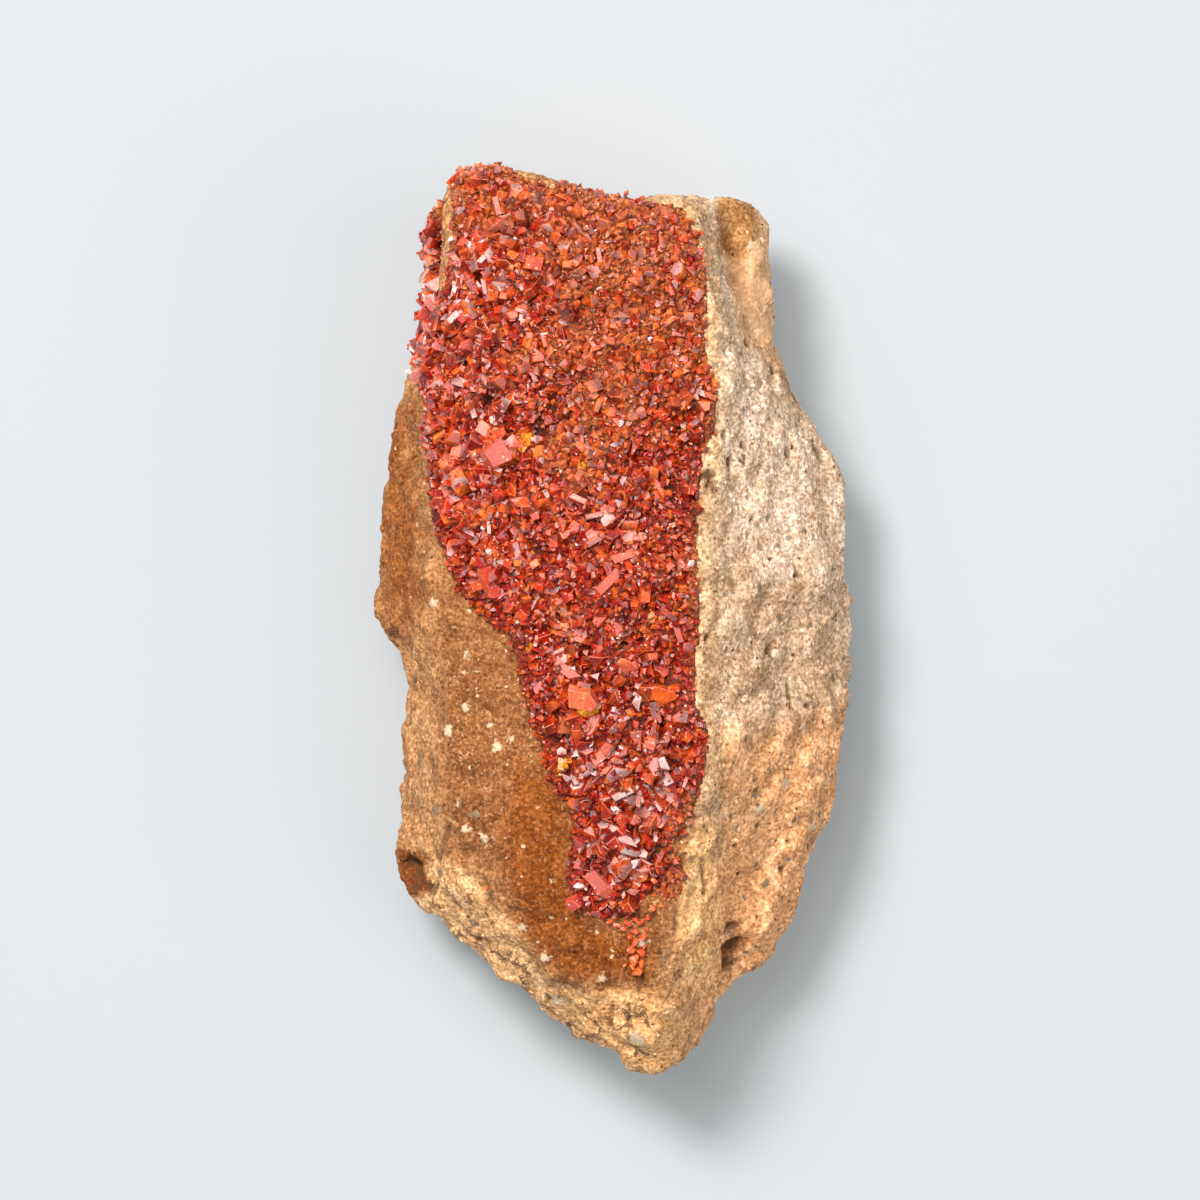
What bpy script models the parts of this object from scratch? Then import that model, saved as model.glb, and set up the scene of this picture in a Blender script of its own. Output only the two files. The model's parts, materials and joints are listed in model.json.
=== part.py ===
"""Crocoite druse on a broken block of host rock, at its real size, in metres, +Z up.

The block lies on its back with the crystal face up. Its long axis is Y: the pointed end is at -Y
and the broken end at +Y. Two solids are made: host_rock, one stone, and crocoite_crust, one sheet
of crystals that grew together over its upper face and down its left flank.
"""

import math
import random

import bpy
import bmesh
import numpy as np
from mathutils import Matrix, Vector, noise

MM = 0.001

# ---------------------------------------------------------------- driving dimensions, in mm
RING_GAP = 2.0  # distance between the loft's rings, and about that between a ring's points
GRID = 0.9  # the loft is remade on a grid this fine before it is worn and broken up
EDGE_WEAR = 3  # smoothing passes, which round every edge by about 1 mm
WEAR_ALLOWANCE = 0.4  # stock left on the loft for that wear
LUMP_SIZE = 10.0
LUMP_HEIGHT = 1.1
LUMP_OCTAVES = (0.9, 2.1, 3)  # how fast smaller lumps fade, how much smaller they get, how many
CHIP_SIZE = 4.2
CHIP_HEIGHT = 0.9
CHIP_STEEPNESS = 2.2
SIDE_BAND = 2.5  # how quickly a face stops counting as upright
CALM_TOP = 0.5  # share of the lumps that the crystal face keeps
CALM_SIDE = 0.45  # share that the upright faces keep
ROCK_TRIANGLES = 3200

CRUST_TOP = 1.0  # the sheet's outer face above the rock, under the crystals
CRUST_GAPS = (0.3, 0.06)  # clearance between the sheet and the rock, and the least at sharp peaks
CRUST_FOOT_Z = 23.5  # lowest point of the druse inside its upper outline
CRUST_HEAD_Z = 50.0  # above every crystal
FLANK_REACH = (-30.0, -14.0)  # X from clear of the flank to inside the stone
SHEET_COARSENESS = 0.4  # share of the rock's triangles that the sheet's outer face keeps
MERGE = 0.002  # corners closer than this are one
FLAT_ANGLE = 0.2  # faces within this many degrees are one flat face

BORDER_MARGIN = 0.5  # bare border between the crystals' feet and the druse's outline
CRYSTAL_COUNT = 185
CRYSTAL_SEED = 11
SEAT_TRIES = 60  # places tried for each crystal
SEAT_SPACING = 0.62  # least distance of two crystals, as a share of both their widths
BOLD_ROOM = 1.2  # room kept round each bold crystal
CRYSTAL_WIDTH = 1.55
COARSE_EXTRA = 0.55  # added to the width by the left border and at the point
HEAD_LESS = 0.35  # taken off it towards the broken end
CRYSTAL_ROOT = 0.9  # how deep a crystal's foot is sunk
END_SLOPE = 0.32  # steepest slope of a crystal's end
SKEW = 0.25  # how far a crystal's section leans from a rectangle
TILT = 0.34  # spread of the crystals' tilt about the surface's normal
BOLD_TILT = 0.18

# ---------------------------------------------------------------- the stone's long lines, in mm
# Each line runs from the broken end (+Y) to the pointed end (-Y). They are listed in the order
# in which a ring meets them, from the left foot over the top to the right foot.
LEFT_FOOT = [
    (-12.5, 40.5, 0), (-15.5, 30, 0), (-17.5, 16, 0), (-19.0, 2, 0),
    (-17.5, -12, 0), (-17.0, -24, 0), (-8.5, -33, 0), (0.5, -40, 0), (2.6, -43, 0),
]
LEFT_EDGE = [
    (-16.4, 43.4, 15), (-17.4, 39.8, 16), (-18.3, 33, 16), (-19.2, 27, 15.5), (-21.2, 20.5, 14.5),
    (-22.5, 15, 13), (-23.2, 8, 12), (-23.4, 3.4, 12), (-24.1, -0.2, 12), (-22.6, -2.8, 12),
    (-20.6, -6, 12), (-20.4, -11, 12), (-21.0, -16.5, 11), (-21.3, -21, 10), (-22.0, -26.4, 10),
    (-19.4, -29.2, 11.5), (-16.0, -32.0, 13), (-9.4, -36.2, 15), (-6.2, -40.0, 16),
    (-1.8, -42.3, 15.5), (2.8, -44.9, 13),
]
LEFT_SHOULDER = [
    (-15.9, 43.9, 26.5), (-16.5, 38, 27.8), (-17.1, 30, 28), (-17.7, 22, 27.4), (-18.1, 14, 26.6),
    (-18.0, 6, 26), (-17.6, -2, 26), (-17.2, -10, 25.8), (-17.2, -18, 25), (-17.4, -24.5, 23),
    (-14.2, -28.2, 23.6), (-8.4, -33.4, 24.4), (-3.4, -37.2, 24.6), (0.6, -40.6, 22.8),
    (3.0, -44.9, 16.5),
]
INNER_LEFT = [
    (-12.4, 45.0, 27.5), (-12.0, 38, 29.6), (-12.0, 26, 30.2), (-12.0, 12, 29.6), (-11.6, 0, 29),
    (-11.0, -12, 28.4), (-10.4, -22, 27.4), (-7.6, -29, 26.6), (-3.6, -34.6, 26.2),
    (0.6, -38.6, 25), (3.2, -45.0, 17.5),
]
SPINE = [
    (-5.4, 43.0, 28), (-4.8, 38, 31), (-4.2, 27, 31.8), (-4.0, 14, 31.4), (-3.6, 2, 31.2),
    (-3.2, -10, 30.8), (-2.8, -20, 30), (-1.6, -28, 28.8), (0.2, -34, 27.6), (1.8, -39, 25.6),
    (3.4, -45.05, 18),
]
INNER_RIGHT = [
    (1.4, 40.8, 29), (2.4, 36, 31.8), (3.0, 26, 32.6), (3.2, 12, 32.6), (3.2, 0, 32.6),
    (3.2, -10, 32.2), (3.2, -20, 31.2), (3.0, -29, 29.4), (3.0, -36, 27.6), (3.6, -41, 24),
    (3.7, -45.05, 18),
]
RIDGE = [
    (7.4, 41.4, 29.5), (9.2, 37, 31.4), (10.2, 31, 32.4), (9.8, 25, 33), (10.6, 19, 33.2),
    (9.2, 12, 33.6), (8.8, 2, 33.8), (8.6, -8, 33.4), (9.4, -13, 32.8), (8.6, -19, 32.2),
    (7.4, -26, 30.6), (6.2, -32, 29.2), (5.2, -38, 27), (4.6, -42.4, 22.5), (4.1, -45.0, 17.5),
]
RIGHT_BREAK = [
    (10.4, 41.0, 19), (10.9, 38, 18.2), (11.9, 33, 18), (12.7, 30, 18.4), (13.9, 27.6, 19.4),
    (15.0, 23, 22), (16.2, 16, 23.4), (16.6, 6, 23.6), (16.4, -6, 23.4), (15.8, -14, 22.8),
    (14.2, -21, 21.2), (12.8, -27, 18.4), (11.4, -32, 14.8), (10.4, -36, 13), (9.0, -39.5, 15),
    (7.4, -42.6, 15), (5.2, -44.9, 14),
]
RIGHT_BENCH = [
    (12.6, 41.6, 18.6), (13.4, 38, 19.4), (14.0, 33, 19.4), (14.6, 29, 19), (15.4, 26, 18.4),
    (17.4, 21.5, 18.6), (19.6, 15.5, 18.8), (20.8, 7, 18.4), (20.8, -4, 18.2), (20.0, -13, 17.6),
    (18.2, -21, 17), (16.2, -27.6, 16.6), (14.2, -32.4, 16.4), (12.6, -35.5, 14.6),
    (9.8, -38, 11.4), (8.2, -42, 11.2), (5.6, -44.8, 11.5),
]
RIGHT_EDGE = [
    (14.2, 40.7, 13), (15.3, 37, 13.5), (15.6, 33, 13.5), (16.1, 28.4, 13.2), (16.6, 25.4, 13),
    (18.4, 21.8, 13), (20.7, 17.4, 12.6), (22.7, 13.8, 12), (23.6, 9.6, 12), (23.2, 4, 12),
    (23.7, -0.4, 12), (23.2, -8, 12), (22.2, -15, 11.8), (21.3, -20, 11.4), (19.3, -24.6, 11),
    (18.2, -28.2, 11), (16.6, -32.2, 11), (14.8, -34.8, 10.6), (12.0, -35.9, 10), (10.6, -37.0, 9),
    (9.9, -39, 9), (8.7, -42.4, 9), (6.0, -44.4, 9.5),
]
RIGHT_FOOT = [
    (9.5, 38.6, 0), (12.0, 30, 0), (15.0, 20, 0), (18.2, 10, 0), (19.0, 0, 0), (18.4, -10, 0),
    (16.0, -20, 0), (12.6, -28, 0), (9.0, -33.6, 0), (7.0, -39, 0), (5.0, -43, 0),
]
# The underside dips below the table plane between its feet, and is ground flat there.
BASE_DIP = -0.2
FOOT_LIFT = 0.6
GROUND_FLAT = 0.12  # anything lower than this on the underside is ground level with the table

LINES = [
    LEFT_FOOT, LEFT_EDGE, LEFT_SHOULDER, INNER_LEFT, SPINE, INNER_RIGHT,
    RIDGE, RIGHT_BREAK, RIGHT_BENCH, RIGHT_EDGE, RIGHT_FOOT,
]

# Hollows in the stone: centre, radius and depth, in mm.
HOLLOWS = [
    ((-19.6, -25.4, 15.5), 4.2, 2.2),  # under the left flank's lower corner
    ((12.2, -33.6, 14.5), 3.6, 2.0),  # between the pointed end and the right lobe
    ((11.4, 35.5, 20.0), 3.4, 1.2),  # above the low block at the broken end
    ((-21.6, -3.6, 13.5), 3.4, 1.2),
    ((-20.2, 24.0, 19.5), 3.0, 0.8),
    ((20.4, 22.0, 9.0), 4.5, 1.6),
    ((18.5, -26.0, 7.0), 4.0, 1.5),
    ((-20.0, 14.0, 6.5), 5.0, 1.8),
    ((2.0, 42.5, 14.0), 6.5, 1.8),
    ((-9.0, 44.0, 11.0), 5.0, 1.6),
]

# ---------------------------------------------------------------- outline of the druse, in mm
# Seen from above, anticlockwise from the broken end's left corner.
CRUST_OUTLINE = [
    (-15.9, 43.4), (-16.6, 40.5), (-16.8, 37), (-17.0, 33.5), (-17.6, 30.5), (-18.4, 28.6),
    (-23.0, 28.4), (-23.5, 26), (-23.5, 22.6), (-20.9, 22.0), (-19.4, 20.2), (-18.6, 14.6),
    (-18.3, 10.2), (-17.7, 7.8), (-16.4, 4.6), (-15.2, 2.0), (-13.6, 0.4), (-12.0, -1.2),
    (-10.4, -1.8), (-9.8, -4.8), (-9.2, -8.0), (-8.4, -10.4), (-7.4, -12.8), (-6.6, -16.2),
    (-5.4, -18.2), (-4.3, -18.6), (-4.4, -22.4), (-5.0, -25.2), (-4.6, -28.2), (-3.0, -29.4),
    (-1.2, -29.8), (-0.2, -31.8), (0.8, -33.6), (1.2, -35.0), (2.5, -34.9), (3.0, -33.0),
    (2.6, -30.6), (3.6, -28.8), (6.6, -27.4), (6.9, -24.8), (5.6, -22.4), (7.2, -20.6),
    (8.4, -17.6), (9.2, -13.2), (9.1, -10.8), (8.0, -8.4), (8.0, -4.6), (8.5, -1.0), (8.2, 4.2),
    (8.2, 9.2), (8.5, 13.4), (9.2, 17.0), (9.9, 18.4), (10.0, 23.8), (8.8, 26.6), (9.1, 31.0),
    (9.0, 35.0), (7.9, 38.0), (7.0, 39.9), (3.6, 40.1), (0.6, 40.5), (-2.2, 41.3), (-4.6, 42.2),
    (-8.2, 42.4), (-10.6, 43.3), (-14.0, 43.8),
]

# Outline of the patch on the left flank, seen from the left: Y and Z in mm. A strip of bare rock
# runs above it.
FLANK_OUTLINE = [
    (42.0, 23.6), (39.4, 25.0), (36.0, 25.6), (32.5, 25.8), (30.2, 27.0), (25.0, 27.4),
    (22.8, 25.0), (22.6, 20.4), (25.2, 17.2), (29.0, 15.6), (33.0, 16.4), (36.6, 15.8),
    (39.6, 18.0), (41.8, 19.6),
]

# Single crystals that stand out of the druse: x, y, width, length and turn, in mm and degrees.
BOLD_CRYSTALS = [
    (-11.4, 16.0, 2.4, 2.6, 38), (-8.8, 15.6, 1.9, 2.4, -35), (-12.4, 18.6, 1.8, 2.0, 10),
    (-2.9, -7.6, 2.9, 2.2, 5), (-5.0, -5.4, 1.3, 2.8, 40), (-0.6, -23.6, 2.2, 3.0, 50),
    (-0.4, -26.2, 2.4, 2.4, 15), (-2.6, -26.8, 2.0, 2.6, -30), (-3.6, -23.8, 1.9, 2.2, 70),
    (-1.4, -21.4, 1.9, 2.0, 25), (-3.4, -28.2, 1.9, 2.0, -15), (-12.6, 28.6, 2.6, 2.0, 30),
    (-2.2, 7.6, 2.0, 2.0, 0), (-12.2, 5.0, 1.8, 2.6, 60), (-9.2, 28.0, 2.0, 2.2, -60),
    (-20.6, 30.6, 1.9, 2.3, 0), (-20.8, 23.9, 1.8, 2.0, 45), (5.6, -26.0, 2.0, 1.8, 20),
]


def start_empty():
    for obj in list(bpy.data.objects):
        bpy.data.objects.remove(obj, do_unlink=True)


def new_collection(name, shown):
    """A collection in the scene. Helpers go in one that isn't rendered."""
    made = bpy.data.collections.new(name)
    bpy.context.scene.collection.children.link(made)
    made.hide_render = not shown
    return made


def add_object(name, mesh, collection):
    made = bpy.data.objects.new(name, mesh)
    collection.objects.link(made)
    return made


def finished_mesh(obj, name):
    """The object's shape with its modifiers applied, as a mesh of its own."""
    bpy.context.view_layer.update()
    graph = bpy.context.evaluated_depsgraph_get()
    made = bpy.data.meshes.new_from_object(obj.evaluated_get(graph), depsgraph=graph)
    made.name = name
    return made


def principled(name, colour, roughness):
    made = bpy.data.materials.new(name)
    made.use_nodes = True
    shader = made.node_tree.nodes["Principled BSDF"]
    shader.inputs["Base Color"].default_value = (*colour, 1)
    shader.inputs["Roughness"].default_value = roughness
    shader.inputs["Metallic"].default_value = 0
    return made


# ---------------------------------------------------------------- host rock
def point_on(line, share):
    """The point of a long line at a share of its length along Y, 0 at the pointed end."""
    x, y, z = np.array(line[::-1], float).T
    here = y[0] + share * (y[-1] - y[0])
    return np.array([np.interp(here, y, x), here, np.interp(here, y, z)])


def ring(share):
    """One closed cross-section, as points about RING_GAP apart, the same number in every ring."""
    corners = [point_on(line, share) for line in LINES]
    corners[0][2] = corners[-1][2] = FOOT_LIFT
    left, right = corners[0], corners[-1]
    corners += [right + (left - right) * k + (0, 0, BASE_DIP - FOOT_LIFT) for k in (0.12, 0.88)]
    points = []
    for k, corner in enumerate(corners):
        onward = corners[(k + 1) % len(corners)]
        for step in range(RING_STEPS[k]):
            points.append(corner + (onward - corner) * step / RING_STEPS[k])
    return np.array(points)


def steps_between_lines():
    """How many points each stretch of a ring gets, from the widest ring."""
    corners = [point_on(line, 0.55) for line in LINES]
    lengths = [np.linalg.norm(b - a) for a, b in zip(corners, corners[1:])]
    base = abs(corners[-1][0] - corners[0][0])
    lengths += [base * 0.12, base * 0.76, base * 0.12]
    return [max(2, round(length / RING_GAP)) for length in lengths]


RING_STEPS = steps_between_lines()


def stone_mesh():
    """The stone as a loft through its rings, closed at both ends by a fan."""
    length = SPINE[0][1] - SPINE[-1][1]
    rings = [ring(share) for share in np.linspace(0, 1, round(length / RING_GAP) + 1)]
    count = len(rings[0])
    points = [tuple(p) for one in rings for p in one]
    points += [tuple(rings[0].mean(0)), tuple(rings[-1].mean(0))]
    faces = []
    for r in range(len(rings) - 1):
        for k in range(count):
            here, after = r * count + k, r * count + (k + 1) % count
            faces.append((here, after, after + count, here + count))
    last = (len(rings) - 1) * count
    for k in range(count):
        onward = (k + 1) % count
        faces.append((onward, k, len(points) - 2))
        faces.append((last + k, last + onward, len(points) - 1))
    mesh = bpy.data.meshes.new("stone")
    mesh.from_pydata(points, [], faces)
    return mesh


def hollow_depth(point):
    """How far the hollows push a point of the surface inwards, in mm."""
    depth = 0.0
    for centre, radius, deepest in HOLLOWS:
        near = (point - Vector(centre)).length / radius
        if near < 1:
            depth += deepest * (1 - near * near) ** 2
    return depth


def roughness_at(point, normal):
    """Height of the broken surface above the smooth loft, in mm."""
    lumps = noise.fractal(point / LUMP_SIZE, *LUMP_OCTAVES)
    cells = noise.voronoi(point / CHIP_SIZE)[0]
    chips = 0.5 - min(1.0, (cells[1] - cells[0]) * CHIP_STEEPNESS)
    calm = 1.0 - (1.0 - CALM_TOP) * max(0.0, normal.z) ** 2
    calm -= (1.0 - CALM_SIDE) * max(0.0, 1.0 - abs(normal.z) * SIDE_BAND)
    return calm * (LUMP_HEIGHT * lumps - CHIP_HEIGHT * chips)


def weather(mesh):
    """Rounds the loft's edges, then breaks its surface up and flattens what it rests on."""
    work = bmesh.new()
    work.from_mesh(mesh)
    bmesh.ops.recalc_face_normals(work, faces=work.faces)
    for _ in range(EDGE_WEAR):
        bmesh.ops.smooth_vert(
            work, verts=work.verts, factor=0.5, use_axis_x=True, use_axis_y=True, use_axis_z=True
        )
    work.normal_update()
    moves = [
        vert.normal
        * (WEAR_ALLOWANCE + roughness_at(vert.co, vert.normal) - hollow_depth(vert.co))
        for vert in work.verts
    ]
    for vert, move in zip(work.verts, moves):
        vert.co += move
        vert.co.z = max(0.0, vert.co.z)
        vert.co *= MM
    work.to_mesh(mesh)
    work.free()


def make_host_rock(parts, helpers):
    blank = add_object("stone_blank", stone_mesh(), helpers)
    grid = blank.modifiers.new("even_grid", "REMESH")
    grid.mode = "VOXEL"
    grid.voxel_size = GRID
    mesh = finished_mesh(blank, "stone")
    weather(mesh)
    blank.modifiers.remove(grid)
    blank.data = mesh
    thin = blank.modifiers.new("fewer_faces", "DECIMATE")
    thin.ratio = ROCK_TRIANGLES / (2 * len(mesh.polygons))
    thin.use_collapse_triangulate = True
    rock = add_object("host_rock", finished_mesh(blank, "host_rock"), parts)
    bpy.data.objects.remove(blank)
    for vert in rock.data.vertices:
        if vert.co.z < GROUND_FLAT * MM:
            vert.co.z = 0
    rock.data.materials.append(principled("sandy_rock", (0.56, 0.37, 0.21), 0.9))
    return rock


# ---------------------------------------------------------------- crocoite crust
def displaced_copy(name, rock, distance, helpers):
    """The stone with its surface moved outwards."""
    made = add_object(name, rock.data.copy(), helpers)
    made.data.materials.clear()
    work = bmesh.new()
    work.from_mesh(made.data)
    work.normal_update()
    for vert in work.verts:
        vert.co += vert.normal * vert.calc_shell_factor() * distance * MM
    work.to_mesh(made.data)
    work.free()
    return made


def prism(name, outline, place, helpers):
    """An outline as a solid. place(u, v, end) gives a corner of its two ends, in mm."""
    work = bmesh.new()
    ends = [[work.verts.new(Vector(place(u, v, end)) * MM) for u, v in outline] for end in (0, 1)]
    work.faces.new(ends[0])
    work.faces.new(ends[1][::-1])
    for k in range(len(outline)):
        onward = (k + 1) % len(outline)
        work.faces.new((ends[0][k], ends[1][k], ends[1][onward], ends[0][onward]))
    bmesh.ops.recalc_face_normals(work, faces=work.faces)
    mesh = bpy.data.meshes.new(name)
    work.to_mesh(mesh)
    work.free()
    return add_object(name, mesh, helpers)


def is_inside(outline, x, y):
    inside = False
    for (x0, y0), (x1, y1) in zip(outline, outline[1:] + outline[:1]):
        if (y0 > y) != (y1 > y) and x < x0 + (y - y0) / (y1 - y0) * (x1 - x0):
            inside = not inside
    return inside


def border_distance(outline, x, y):
    nearest = 99.0
    for (x0, y0), (x1, y1) in zip(outline, outline[1:] + outline[:1]):
        dx, dy = x1 - x0, y1 - y0
        along = ((x - x0) * dx + (y - y0) * dy) / (dx * dx + dy * dy)
        along = min(1.0, max(0.0, along))
        nearest = min(nearest, math.hypot(x - x0 - along * dx, y - y0 - along * dy))
    return nearest


def in_druse(spot, margin):
    """True if a point of the rock, in mm, is under the druse and not too near its border."""
    for outline, u, v, floor in (
        (CRUST_OUTLINE, spot.x, spot.y, spot.z - CRUST_FOOT_Z),
        (FLANK_OUTLINE, spot.y, spot.z, FLANK_REACH[1] - spot.x),
    ):
        if floor > 0 and is_inside(outline, u, v) and border_distance(outline, u, v) >= margin:
            return True
    return False


def crystal_size(x, y):
    """Usual width of a crystal in mm: coarse by the left border and at the point, fine on top."""
    by_border = max(0.0, min(1.0, (4.0 - x) / 14.0))
    by_point = max(0.0, min(1.0, (-14.0 - y) / 8.0))
    by_head = max(0.0, min(1.0, (y - 26.0) / 14.0))
    return CRYSTAL_WIDTH + COARSE_EXTRA * max(by_border, by_point) - HEAD_LESS * by_head


def crystal_seats(rock):
    """Where crystals stand: point in mm and normal, spread evenly over the druse."""
    faces = [face for face in rock.data.polygons if in_druse(face.center / MM, 0)]
    rng = random.Random(CRYSTAL_SEED)
    weights = [face.area for face in faces]
    corners = rock.data.vertices
    seats = [(Vector((x, y, 0)), None, BOLD_ROOM) for x, y, *_ in BOLD_CRYSTALS]
    for _ in range(CRYSTAL_COUNT * SEAT_TRIES):
        face = rng.choices(faces, weights)[0]
        a, b, c = (corners[k].co / MM for k in face.vertices)
        u, v = rng.random(), rng.random()
        if u + v > 1:
            u, v = 1 - u, 1 - v
        spot = a + (b - a) * u + (c - a) * v
        if not in_druse(spot, BORDER_MARGIN):
            continue
        room = crystal_size(spot.x, spot.y)
        crowded = any(
            ((seat - spot) if normal else Vector((seat.x - spot.x, seat.y - spot.y))).length
            < SEAT_SPACING * (room + other)
            for seat, normal, other in seats
        )
        if not crowded:
            seats.append((spot, face.normal.copy(), room))
        if len(seats) >= CRYSTAL_COUNT + len(BOLD_CRYSTALS):
            break
    return [(spot, normal) for spot, normal, _ in seats if normal]


def add_crystal(work, seat, axis, spin, wide, deep, tall, rng):
    """A rhombic prism with a sloping end. Its foot is sunk into the crust."""
    turn = axis.to_track_quat("Z", "Y").to_matrix() @ Matrix.Rotation(spin, 3, "Z")
    skew = rng.uniform(-SKEW, SKEW) * wide
    corners = [
        (-wide / 2, -deep / 2), (wide / 2, -deep / 2 + skew), (wide / 2 - skew, deep / 2),
        (-wide / 2 - skew, deep / 2 - skew),
    ]
    lean = (rng.uniform(-END_SLOPE, END_SLOPE), rng.uniform(-END_SLOPE, END_SLOPE))
    rings = []
    for end in (-CRYSTAL_ROOT, tall):
        ring_verts = []
        for x, y in corners:
            z = end + (lean[0] * x + lean[1] * y if end > 0 else 0)
            ring_verts.append(work.verts.new((seat + turn @ Vector((x, y, z))) * MM))
        rings.append(ring_verts)
    low, high = rings
    work.faces.new(low[::-1])
    work.faces.new(high)
    for k in range(4):
        onward = (k + 1) % 4
        work.faces.new((low[k], low[onward], high[onward], high[k]))


def make_crystals(rock, helpers):
    """Every crystal as a solid of its own, in one mesh."""
    rng = random.Random(CRYSTAL_SEED + 1)
    work = bmesh.new()
    for seat, normal in crystal_seats(rock):
        size = crystal_size(seat.x, seat.y) * rng.uniform(0.85, 1.2)
        tilt = Vector([rng.gauss(0, TILT) for _ in range(3)])
        axis = (normal + tilt).normalized()
        tall = CRUST_TOP * 0.6 + size * rng.uniform(0.35, 0.85) * (1 if normal.z > 0.5 else 0.7)
        spin = rng.uniform(0, math.tau)
        add_crystal(work, seat, axis, spin, size, size * rng.uniform(0.7, 1.0), tall, rng)
    for x, y, wide, tall, turn in BOLD_CRYSTALS:
        hit, spot, normal, _ = rock.ray_cast(Vector((x * MM, y * MM, 1)), Vector((0, 0, -1)))
        if not hit:
            continue
        axis = (normal + Vector([rng.gauss(0, BOLD_TILT) for _ in range(3)])).normalized()
        add_crystal(work, spot / MM, axis, math.radians(turn), wide, wide * 0.85, tall, rng)
    mesh = bpy.data.meshes.new("crystals")
    work.to_mesh(mesh)
    work.free()
    return add_object("crystals", mesh, helpers)


def combine(obj, cutter, operation):
    step = obj.modifiers.new(f"{operation.lower()}_{cutter.name}", "BOOLEAN")
    step.object = cutter
    step.operation = operation
    step.solver = "EXACT"
    step.use_self = True
    return step


def keep_largest_body(mesh):
    """Drops stray slivers that a cut left loose."""
    work = bmesh.new()
    work.from_mesh(mesh)
    bmesh.ops.dissolve_limit(
        work, angle_limit=math.radians(FLAT_ANGLE), verts=work.verts, edges=work.edges,
        delimit=set(),
    )
    bmesh.ops.triangulate(work, faces=work.faces)
    bmesh.ops.remove_doubles(work, verts=work.verts, dist=MERGE * MM)
    bmesh.ops.dissolve_degenerate(work, edges=work.edges, dist=MERGE * MM)
    left = set(work.verts)
    bodies = []
    while left:
        body = [left.pop()]
        for vert in body:
            for edge in vert.link_edges:
                other = edge.other_vert(vert)
                if other in left:
                    left.remove(other)
                    body.append(other)
        bodies.append(body)
    bodies.sort(key=len)
    for body in bodies[:-1]:
        bmesh.ops.delete(work, geom=body, context="VERTS")
    open_edges = sum(not edge.is_manifold for edge in work.edges)
    print("crust: bodies", len(bodies), "and open edges", open_edges)
    work.to_mesh(mesh)
    work.free()


def make_crust(rock, parts, helpers):
    """The druse as one solid: a sheet over the rock, with crystals growing out of it."""
    crust = displaced_copy("crust_blank", rock, CRUST_TOP, helpers)
    crust.modifiers.new("coarser", "DECIMATE").ratio = SHEET_COARSENESS
    upper = prism(
        "upper_outline",
        CRUST_OUTLINE,
        lambda x, y, end: (x, y, (CRUST_FOOT_Z, CRUST_HEAD_Z)[end]),
        helpers,
    )
    flank = prism(
        "flank_outline", FLANK_OUTLINE, lambda y, z, end: (FLANK_REACH[end], y, z), helpers
    )
    combine(upper, flank, "UNION")
    combine(crust, upper, "INTERSECT")
    combine(crust, make_crystals(rock, helpers), "UNION")
    for gap in CRUST_GAPS:
        combine(crust, displaced_copy(f"rock_plus_{gap}", rock, gap, helpers), "DIFFERENCE")
    mesh = finished_mesh(crust, "crocoite_crust")
    keep_largest_body(mesh)
    mesh.materials.clear()
    mesh.materials.append(principled("crocoite_red", (0.62, 0.09, 0.04), 0.3))
    bpy.data.objects.remove(crust)
    return add_object("crocoite_crust", mesh, parts)


def centre_on_base(collections):
    """Moves everything so that the origin is the middle of the bottom of the whole object."""
    spots = np.array([vert.co[:] for obj in collections[0].objects for vert in obj.data.vertices])
    low, high = spots.min(0), spots.max(0)
    shift = Vector((-(low[0] + high[0]) / 2, -(low[1] + high[1]) / 2, -low[2]))
    for collection in collections:
        for obj in collection.objects:
            obj.data.transform(Matrix.Translation(shift))
    print("moved by", [round(value / MM, 3) for value in shift], "mm")


def main():
    start_empty()
    parts = new_collection("crocoite", shown=True)
    helpers = new_collection("cutters", shown=False)
    rock = make_host_rock(parts, helpers)
    make_crust(rock, parts, helpers)
    centre_on_base((parts, helpers))
    for obj in helpers.objects:
        obj.hide_render = True
        obj.display_type = "WIRE"


main()
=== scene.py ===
# %% [markdown]
# # A crocoite specimen
# Crocoite is lead chromate. It grows as short, glassy, orange-red prisms, crowded into a crust that
# mineral collectors call a druse. This one covers one long face of a loose block of sandy rock that
# iron has stained brown. The lesson dresses a plain model of the specimen: first the camera and the
# light, then the rock's relief and grains, and last the thousands of crystals.

# %% Load the frame
import json
import math
import random

import bmesh
import bpy
import numpy as np
from mathutils import Matrix, Vector, noise
from mathutils.bvhtree import BVHTree

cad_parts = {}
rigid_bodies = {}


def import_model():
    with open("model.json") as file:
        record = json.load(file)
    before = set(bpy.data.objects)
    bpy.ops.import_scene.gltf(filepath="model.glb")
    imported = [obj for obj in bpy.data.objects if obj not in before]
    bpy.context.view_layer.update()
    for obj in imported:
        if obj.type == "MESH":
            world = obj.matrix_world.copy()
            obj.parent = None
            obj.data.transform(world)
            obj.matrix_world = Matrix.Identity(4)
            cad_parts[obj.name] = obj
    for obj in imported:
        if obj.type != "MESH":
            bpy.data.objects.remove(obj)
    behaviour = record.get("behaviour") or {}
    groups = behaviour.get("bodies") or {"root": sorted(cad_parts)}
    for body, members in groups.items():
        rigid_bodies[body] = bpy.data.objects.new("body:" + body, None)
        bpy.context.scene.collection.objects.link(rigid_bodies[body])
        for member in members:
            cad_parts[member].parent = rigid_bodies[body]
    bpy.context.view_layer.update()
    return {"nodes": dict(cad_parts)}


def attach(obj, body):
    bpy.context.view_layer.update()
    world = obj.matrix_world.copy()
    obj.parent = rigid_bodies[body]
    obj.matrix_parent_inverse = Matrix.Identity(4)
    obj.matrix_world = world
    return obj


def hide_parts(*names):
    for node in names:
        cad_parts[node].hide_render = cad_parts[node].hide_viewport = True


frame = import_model()
MM = 0.001

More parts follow.
